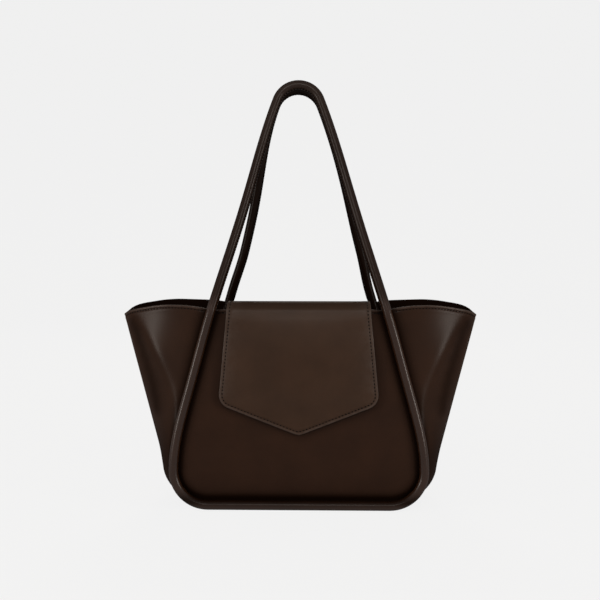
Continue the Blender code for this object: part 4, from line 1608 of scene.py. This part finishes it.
def drop_grid(depth):
    outer = leather / 2 + snap_stack + flap_thickness
    found = outline_half()
    lengths = running_lengths(found)
    rows = []
    edge = flap_edge_distance()
    top_z = flap_shoulder_height
    low_z = flap_tip_height + 12 * MM
    is_backing = depth >= flap_leather + flap_core + 0.1 * MM
    for (point, inward), run in zip(found, lengths):
        share = (run + 3 * MM) / (lengths[-1] + 3 * MM)
        spine = Vector((0, 0, mix(top_z, low_z, share)))
        flat = flap_line(point, inward, spine, Vector(), depth)
        line = []
        for k, p in enumerate(flat):
            near = min(k, len(flat) - 1 - k)
            relief = 0.0
            if depth == 0 and near < len(flap_columns):
                relief = hem_relief(flap_columns[near], flap_inset)
            push = drop_push(p.x, p.z) * (backing_push if is_backing else 1.0)
            push += edge_roll(edge(p), flap_shoulder_height - p.z)
            line.append(on_face(FRONT, p.x, p.z, outer - depth + push + relief))
        rows.append(line)
    return rows


def flap_profiles():
    """The outer line over the mouth, in two halves that meet in its middle.

    Returns the end of the rear bend, the rear and front halves as (point, normal), and the spans.
    """
    rear, front = bridge_profile()
    bend_end = rear[-1][0]
    start, normal = front[0]
    middle = mix(bend_end, start, 0.5)
    rear_half = rear + [(mix(bend_end, middle, t), normal) for t in shares(6)[1:]]
    front_half = [(mix(middle, start, t), normal) for t in shares(5)[:-1]] + front
    return bend_end, rear_half, front_half, bridge_spans(rear, front)


def flap_spot(spans, point, normal, inset=0.0):
    """Middle of the flap at a point of its profile, and the place at an inset from its left edge."""
    half, share = spans(point, normal)
    spine = point - Vector((0, 0, sag(share)))
    return spine, spine + Vector((inset - half, 0, 0))


def flap_rows(profile, spans, depth):
    """One line across the flap for each point of its profile."""
    rows = []
    for point, normal in profile:
        spine, edge_point = flap_spot(spans, point, normal)
        rows.append(flap_line(edge_point, Vector((1, 0, 0)), spine, normal, depth))
    return rows


def flap_front_sheet(name, depth_out, depth_in, skin, edge, rounding):
    """The front half of the bridge, the shoulder and the pointed drop as one sheet."""
    _, _, front_half, spans = flap_profiles()
    grids = [flap_rows(front_half, spans, depth) + drop_grid(depth) for depth in (depth_out, depth_in)]
    shape = bmesh.new()
    top, low = sheet_faces(shape, *grids)
    high = len(top)
    wide = len(top[0])
    for j in range(wide - 1):
        shape.faces.new((top[0][j], top[0][j + 1], low[0][j + 1], low[0][j]))
    for j in (0, wide - 1):
        for i in range(high - 1):
            wall = shape.faces.new((top[i][j], top[i + 1][j], low[i + 1][j], low[i][j]))
            wall.material_index = 1
    bmesh.ops.remove_doubles(shape, verts=shape.verts, dist=0.02 * MM)
    bmesh.ops.recalc_face_normals(shape, faces=shape.faces)
    soft = [e for e in shape.edges if len(e.link_faces) == 2
            and sorted(f.material_index for f in e.link_faces) == [0, 1]]
    round_edges(shape, soft, rounding)
    return finish_mesh(name, shape, [skin, edge], wear_and_highlight=flap_painted_highlight(), crease=flap_painted_shade())


def flap_edge_distance():
    """A function that gives a point's distance to the flap's edge, seen from the front."""
    near = distance_to([Vector((-flap_shoulder_half_width, 0, 0.26))] + [p for p, _ in outline_half()])
    return lambda p: near(Vector((-abs(p.x), 0, p.z)))


def flap_painted_highlight():
    """Painted highlight on the raised rim outside the stitches and along the flap's edge, fading further in.
    """
    edge = flap_edge_distance()

    def share(p):
        distance = edge(p)
        highlit = flap_edge_highlight * math.exp(-distance / flap_edge_highlight_reach)
        highlit *= smooth((p.z - 0.118) / 0.03)
        return max(hem_highlight(distance, flap_inset), highlit)

    return share


def flap_painted_shade():
    """Painted shade where the flap bends over the mouth and in the groove of its stitches."""
    edge = flap_edge_distance()

    def share(p):
        bend = flap_bend_shade * smooth((p.z - flap_bend_shade_start) / flap_bend_shade_reach)
        return max(bend, stitch_groove_shade(edge(p), flap_inset))

    return share


def bridge_spans(rear, front):
    """A function that gives (half width, share) at a point of the bridge."""
    bend_rear = rear[-1][0]
    start = front[0][0]
    rear_length = running_lengths(rear)[-1]
    level = (start - bend_rear).length
    bend = running_lengths(front)
    total = rear_length + level + bend[-1]

    def at(point, normal):
        if point.z < rim_top(REAR) and point.y > rim_depth:
            return flap_rear_half_width, 0.0
        if point.y > bend_rear.y + 1e-6:
            run = rear_length * (1 - math.asin(min(max(normal.y, 0), 1)) / (math.pi / 2))
            share = 0.0
        elif point.y > start.y:
            run = rear_length + (point - bend_rear).length
            share = (point - bend_rear).length / level
        else:
            near = min(range(len(front)), key=lambda k: (front[k][0] - point).length)
            run = rear_length + level + bend[near]
            share = 1.0
        return mix(flap_rear_half_width, flap_shoulder_half_width, run / total), share

    return at


def flap_rear_sheet(name, depth_out, depth_in, skin, edge, rounding, with_root):
    """The flap's root on the rear panel and the rear half of the bridge."""
    bend_end, rear_half, front_half, spans = flap_profiles()
    if with_root:
        profile = root_profile() + rear_half
    else:
        middle, normal = front_half[0]
        clear = 3.5 * MM + flap_thickness
        start = mix(bend_end, middle, clear / (middle - bend_end).length)
        profile = [(mix(start, middle, t), normal) for t in shares(6)]
    grids = [flap_rows(profile, spans, depth) for depth in (depth_out, depth_in)]
    return soft_sheet(name, *grids, skin, edge, rounding, open_sides="b")


def flap_stitch_paths():
    """Stitch lines beside the flap's edges: (rear paths, front paths)."""
    _, rear_half, front_half, spans = flap_profiles()
    sink = hem_relief(flap_inset, flap_inset)
    lowest = rim_top(REAR) - flap_root_height + flap_inset - 0.1 * MM
    root = [(p, n) for p, n in root_profile() if p.z > lowest]

    def beside_edge(profile):
        line = []
        for point, normal in profile:
            _, edge_point = flap_spot(spans, point, normal, flap_inset)
            line.append((edge_point + normal * sink, normal))
        return line

    left = beside_edge(root + rear_half)
    foot_left = left[0]
    foot_right = (Vector((-foot_left[0].x, foot_left[0].y, foot_left[0].z)), foot_left[1])
    rear_paths = [left, mirrored_path(left), [foot_left, foot_right]]
    left = beside_edge(front_half)
    outer = leather / 2 + snap_stack + flap_thickness
    for point, inward in outline_half():
        spot = point + inward * flap_inset
        if spot.x < 0.5 * MM:
            push = drop_push(spot.x, spot.z) + edge_roll(flap_inset, flap_shoulder_height - spot.z)
            left.append((on_face(FRONT, spot.x, spot.z, outer + push + sink), Vector((0, -1, 0))))
    return rear_paths, [left, mirrored_path(left)]


def mirrored_path(path):
    return [(Vector((-p.x, p.y, p.z)), Vector((-n.x, n.y, n.z))) for p, n in path]


def carry_blend(piece, slot, bodies, start, end, *nodes):
    if nodes:
        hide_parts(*nodes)
    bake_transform(piece)
    return piece


rear_fold = (("bag_body", "flap_bridge"), (0, 0.0528, 0.2265), (0, 0.0440, 0.2350))
front_fold = (("flap_bridge", "flap_drop"), (0, -0.0580, 0.2335), (0, -0.0600, 0.2185))


def add_flap():
    under = flap_leather + flap_core
    skin_depth = under - 0.15 * MM
    piece = flap_rear_sheet("flap_rear_leather", 0.0, flap_leather, flap_skin, edge_paint_and_highlight, 0.45 * MM, True)
    carry_blend(piece, "flap_leather", *rear_fold, "flap_root", "flap_bridge_leather")
    piece = flap_front_sheet("flap_front_leather", 0.0, skin_depth, flap_skin, edge_paint_and_highlight, 0.6 * MM)
    carry_blend(piece, "flap_leather", *front_fold, "flap_bridge_leather", "flap_drop_leather")
    piece = flap_rear_sheet("flap_rear_backing", flap_leather + 0.05 * MM, flap_thickness,
                            flap_skin, edge_paint_and_highlight, 0.3 * MM, False)
    carry_blend(piece, "flap_lining", *rear_fold, "flap_bridge_lining")
    piece = flap_front_sheet("flap_front_backing", under, flap_thickness,
                             shaded_facing_leather, edge_paint_and_highlight, 0.25 * MM)
    carry_blend(piece, "flap_lining", *front_fold, "flap_bridge_lining", "flap_drop_lining")
    rear_paths, front_paths = flap_stitch_paths()
    carry_blend(add_stitches("flap_rear_stitches", rear_paths), "flap_leather", *rear_fold)
    carry_blend(add_stitches("flap_front_stitches", front_paths), "flap_leather", *front_fold)


def add_tubes():
    for face, name in FACES:
        start = (0, face * rim_depth, foot_bend_start)
        end = (0, face * rim_depth, foot_bend_end)
        bodies = ("bag_body", f"{name}_handle")
        nodes = [f"{name}_{part}_{layer}" for part in ("tube", "handle") for layer in ("sleeve", "cord")]
        carry_blend(add_loop(face, f"{name}_rolled_tube"), "leather", bodies, start, end, *nodes)
        seam = add_stitches(f"{name}_handle_stitches", lip_paths(face), 3.4 * MM, 2.3 * MM)
        carry_blend(seam, "leather", bodies, start, end)


def finish_hidden_solids():
    """Rigid solids that stay as they are get their finished materials."""
    finishes = {
        "base_board": grey_board,
        "front_stiffener": grey_board,
        "rear_stiffener": grey_board,
        "snap_socket": snap_metal,
        "snap_socket_washer": snap_metal,
        "snap_stud": snap_metal,
        "snap_stud_washer": snap_metal,
    }
    for name, item in finishes.items():
        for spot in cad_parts[name].material_slots:
            spot.material = item


# Stage, lamps and camera


def seen_directly(tree):
    """1 for what the camera sees, also in a reflection or through glass, and 0 for light."""
    path = tree.nodes.new("ShaderNodeLightPath")
    seen = math_node(tree, "ADD", path.outputs["Is Camera Ray"], path.outputs["Is Glossy Ray"])
    return math_node(tree, "ADD", seen, path.outputs["Is Transmission Ray"], clamp=True)


def stage_material(shade, shadow_share):
    """Pale surface that looks even to the camera and in reflections but keeps a soft shadow."""
    made = bpy.data.materials.new("pale_stage")
    made.use_nodes = True
    tree = made.node_tree
    shader = tree.nodes["Principled BSDF"]
    set_inputs(shader, Base_Color=(0.3, 0.3, 0.3, 1), Roughness=0.9, Specular_IOR_Level=0.1)
    glow = tree.nodes.new("ShaderNodeEmission")
    glow.inputs["Color"].default_value = (shade, shade, shade, 1)
    seen = math_node(tree, "MULTIPLY", seen_directly(tree), 1 - shadow_share)
    blend_node = tree.nodes.new("ShaderNodeMixShader")
    tree.links.new(seen, blend_node.inputs[0])
    tree.links.new(shader.outputs[0], blend_node.inputs[1])
    tree.links.new(glow.outputs[0], blend_node.inputs[2])
    tree.links.new(blend_node.outputs[0], tree.nodes["Material Output"].inputs["Surface"])
    return made


def add_stage():
    """A floor that curves up into a backdrop."""
    shape = bmesh.new()
    width = stage_half_width
    profile = [(-width, 0.0), (-1.0, 0.0), (0.0, 0.0), (sweep_start, 0.0)]
    for t in shares(16)[1:]:
        angle = t * math.pi / 2
        profile.append((sweep_start + sweep_radius * math.sin(angle), sweep_radius * (1 - math.cos(angle))))
    profile.append((sweep_start + sweep_radius, 4.0))
    lines = [[shape.verts.new((x, y, z - stage_drop)) for x in (-width, 0, width)] for y, z in profile]
    for a, b in zip(lines, lines[1:]):
        for k in (0, 1):
            shape.faces.new((a[k], a[k + 1], b[k + 1], b[k]))
    bmesh.ops.recalc_face_normals(shape, faces=shape.faces)
    floor = finish_mesh("studio_floor", shape, [stage_material(stage_shade, stage_shadow_share)])


def add_lamp(name, place, width, height, power):
    data = bpy.data.lights.new(name, "AREA")
    data.shape = "RECTANGLE"
    data.size = width
    data.size_y = height
    data.energy = power
    data.color = lamp_colour
    lamp = bpy.data.objects.new(name, data)
    lamp.location = place
    direction = Vector(lamp_target) - Vector(place)
    lamp.rotation_euler = direction.to_track_quat("-Z", "Y").to_euler()
    bpy.context.scene.collection.objects.link(lamp)


def add_lights():
    for lamp in lamps:
        add_lamp(*lamp)
    world = bpy.data.worlds.new("studio")
    world.use_nodes = True
    tree = world.node_tree
    back = tree.nodes["Background"]
    seen = seen_directly(tree)
    tree.links.new(colour_mix(tree, seen, sky_light, sky_seen), back.inputs["Color"])
    bpy.context.scene.world = world


def add_camera():
    data = bpy.data.cameras.new("camera")
    data.lens = lens_length
    data.sensor_width = sensor_width
    data.sensor_fit = "HORIZONTAL"
    data.clip_start = 0.05
    data.clip_end = 50
    camera = bpy.data.objects.new("camera", data)
    back = Vector((
        math.sin(camera_azimuth) * math.cos(camera_elevation),
        -math.cos(camera_azimuth) * math.cos(camera_elevation),
        math.sin(camera_elevation),
    ))
    camera.location = camera_target + back * camera_distance
    camera.rotation_euler = (-back).to_track_quat("-Z", "Y").to_euler()
    bpy.context.scene.collection.objects.link(camera)
    bpy.context.scene.camera = camera


bpy.context.scene.view_settings.view_transform = "Standard"
add_camera()
rim_stitches = add_panels() + add_wings()
carry(add_stitches("rim_stitches", rim_stitches), "bag_body", "leather")
add_base()
add_pocket()
add_tubes()
add_flap()
finish_hidden_solids()
add_stage()
add_lights()
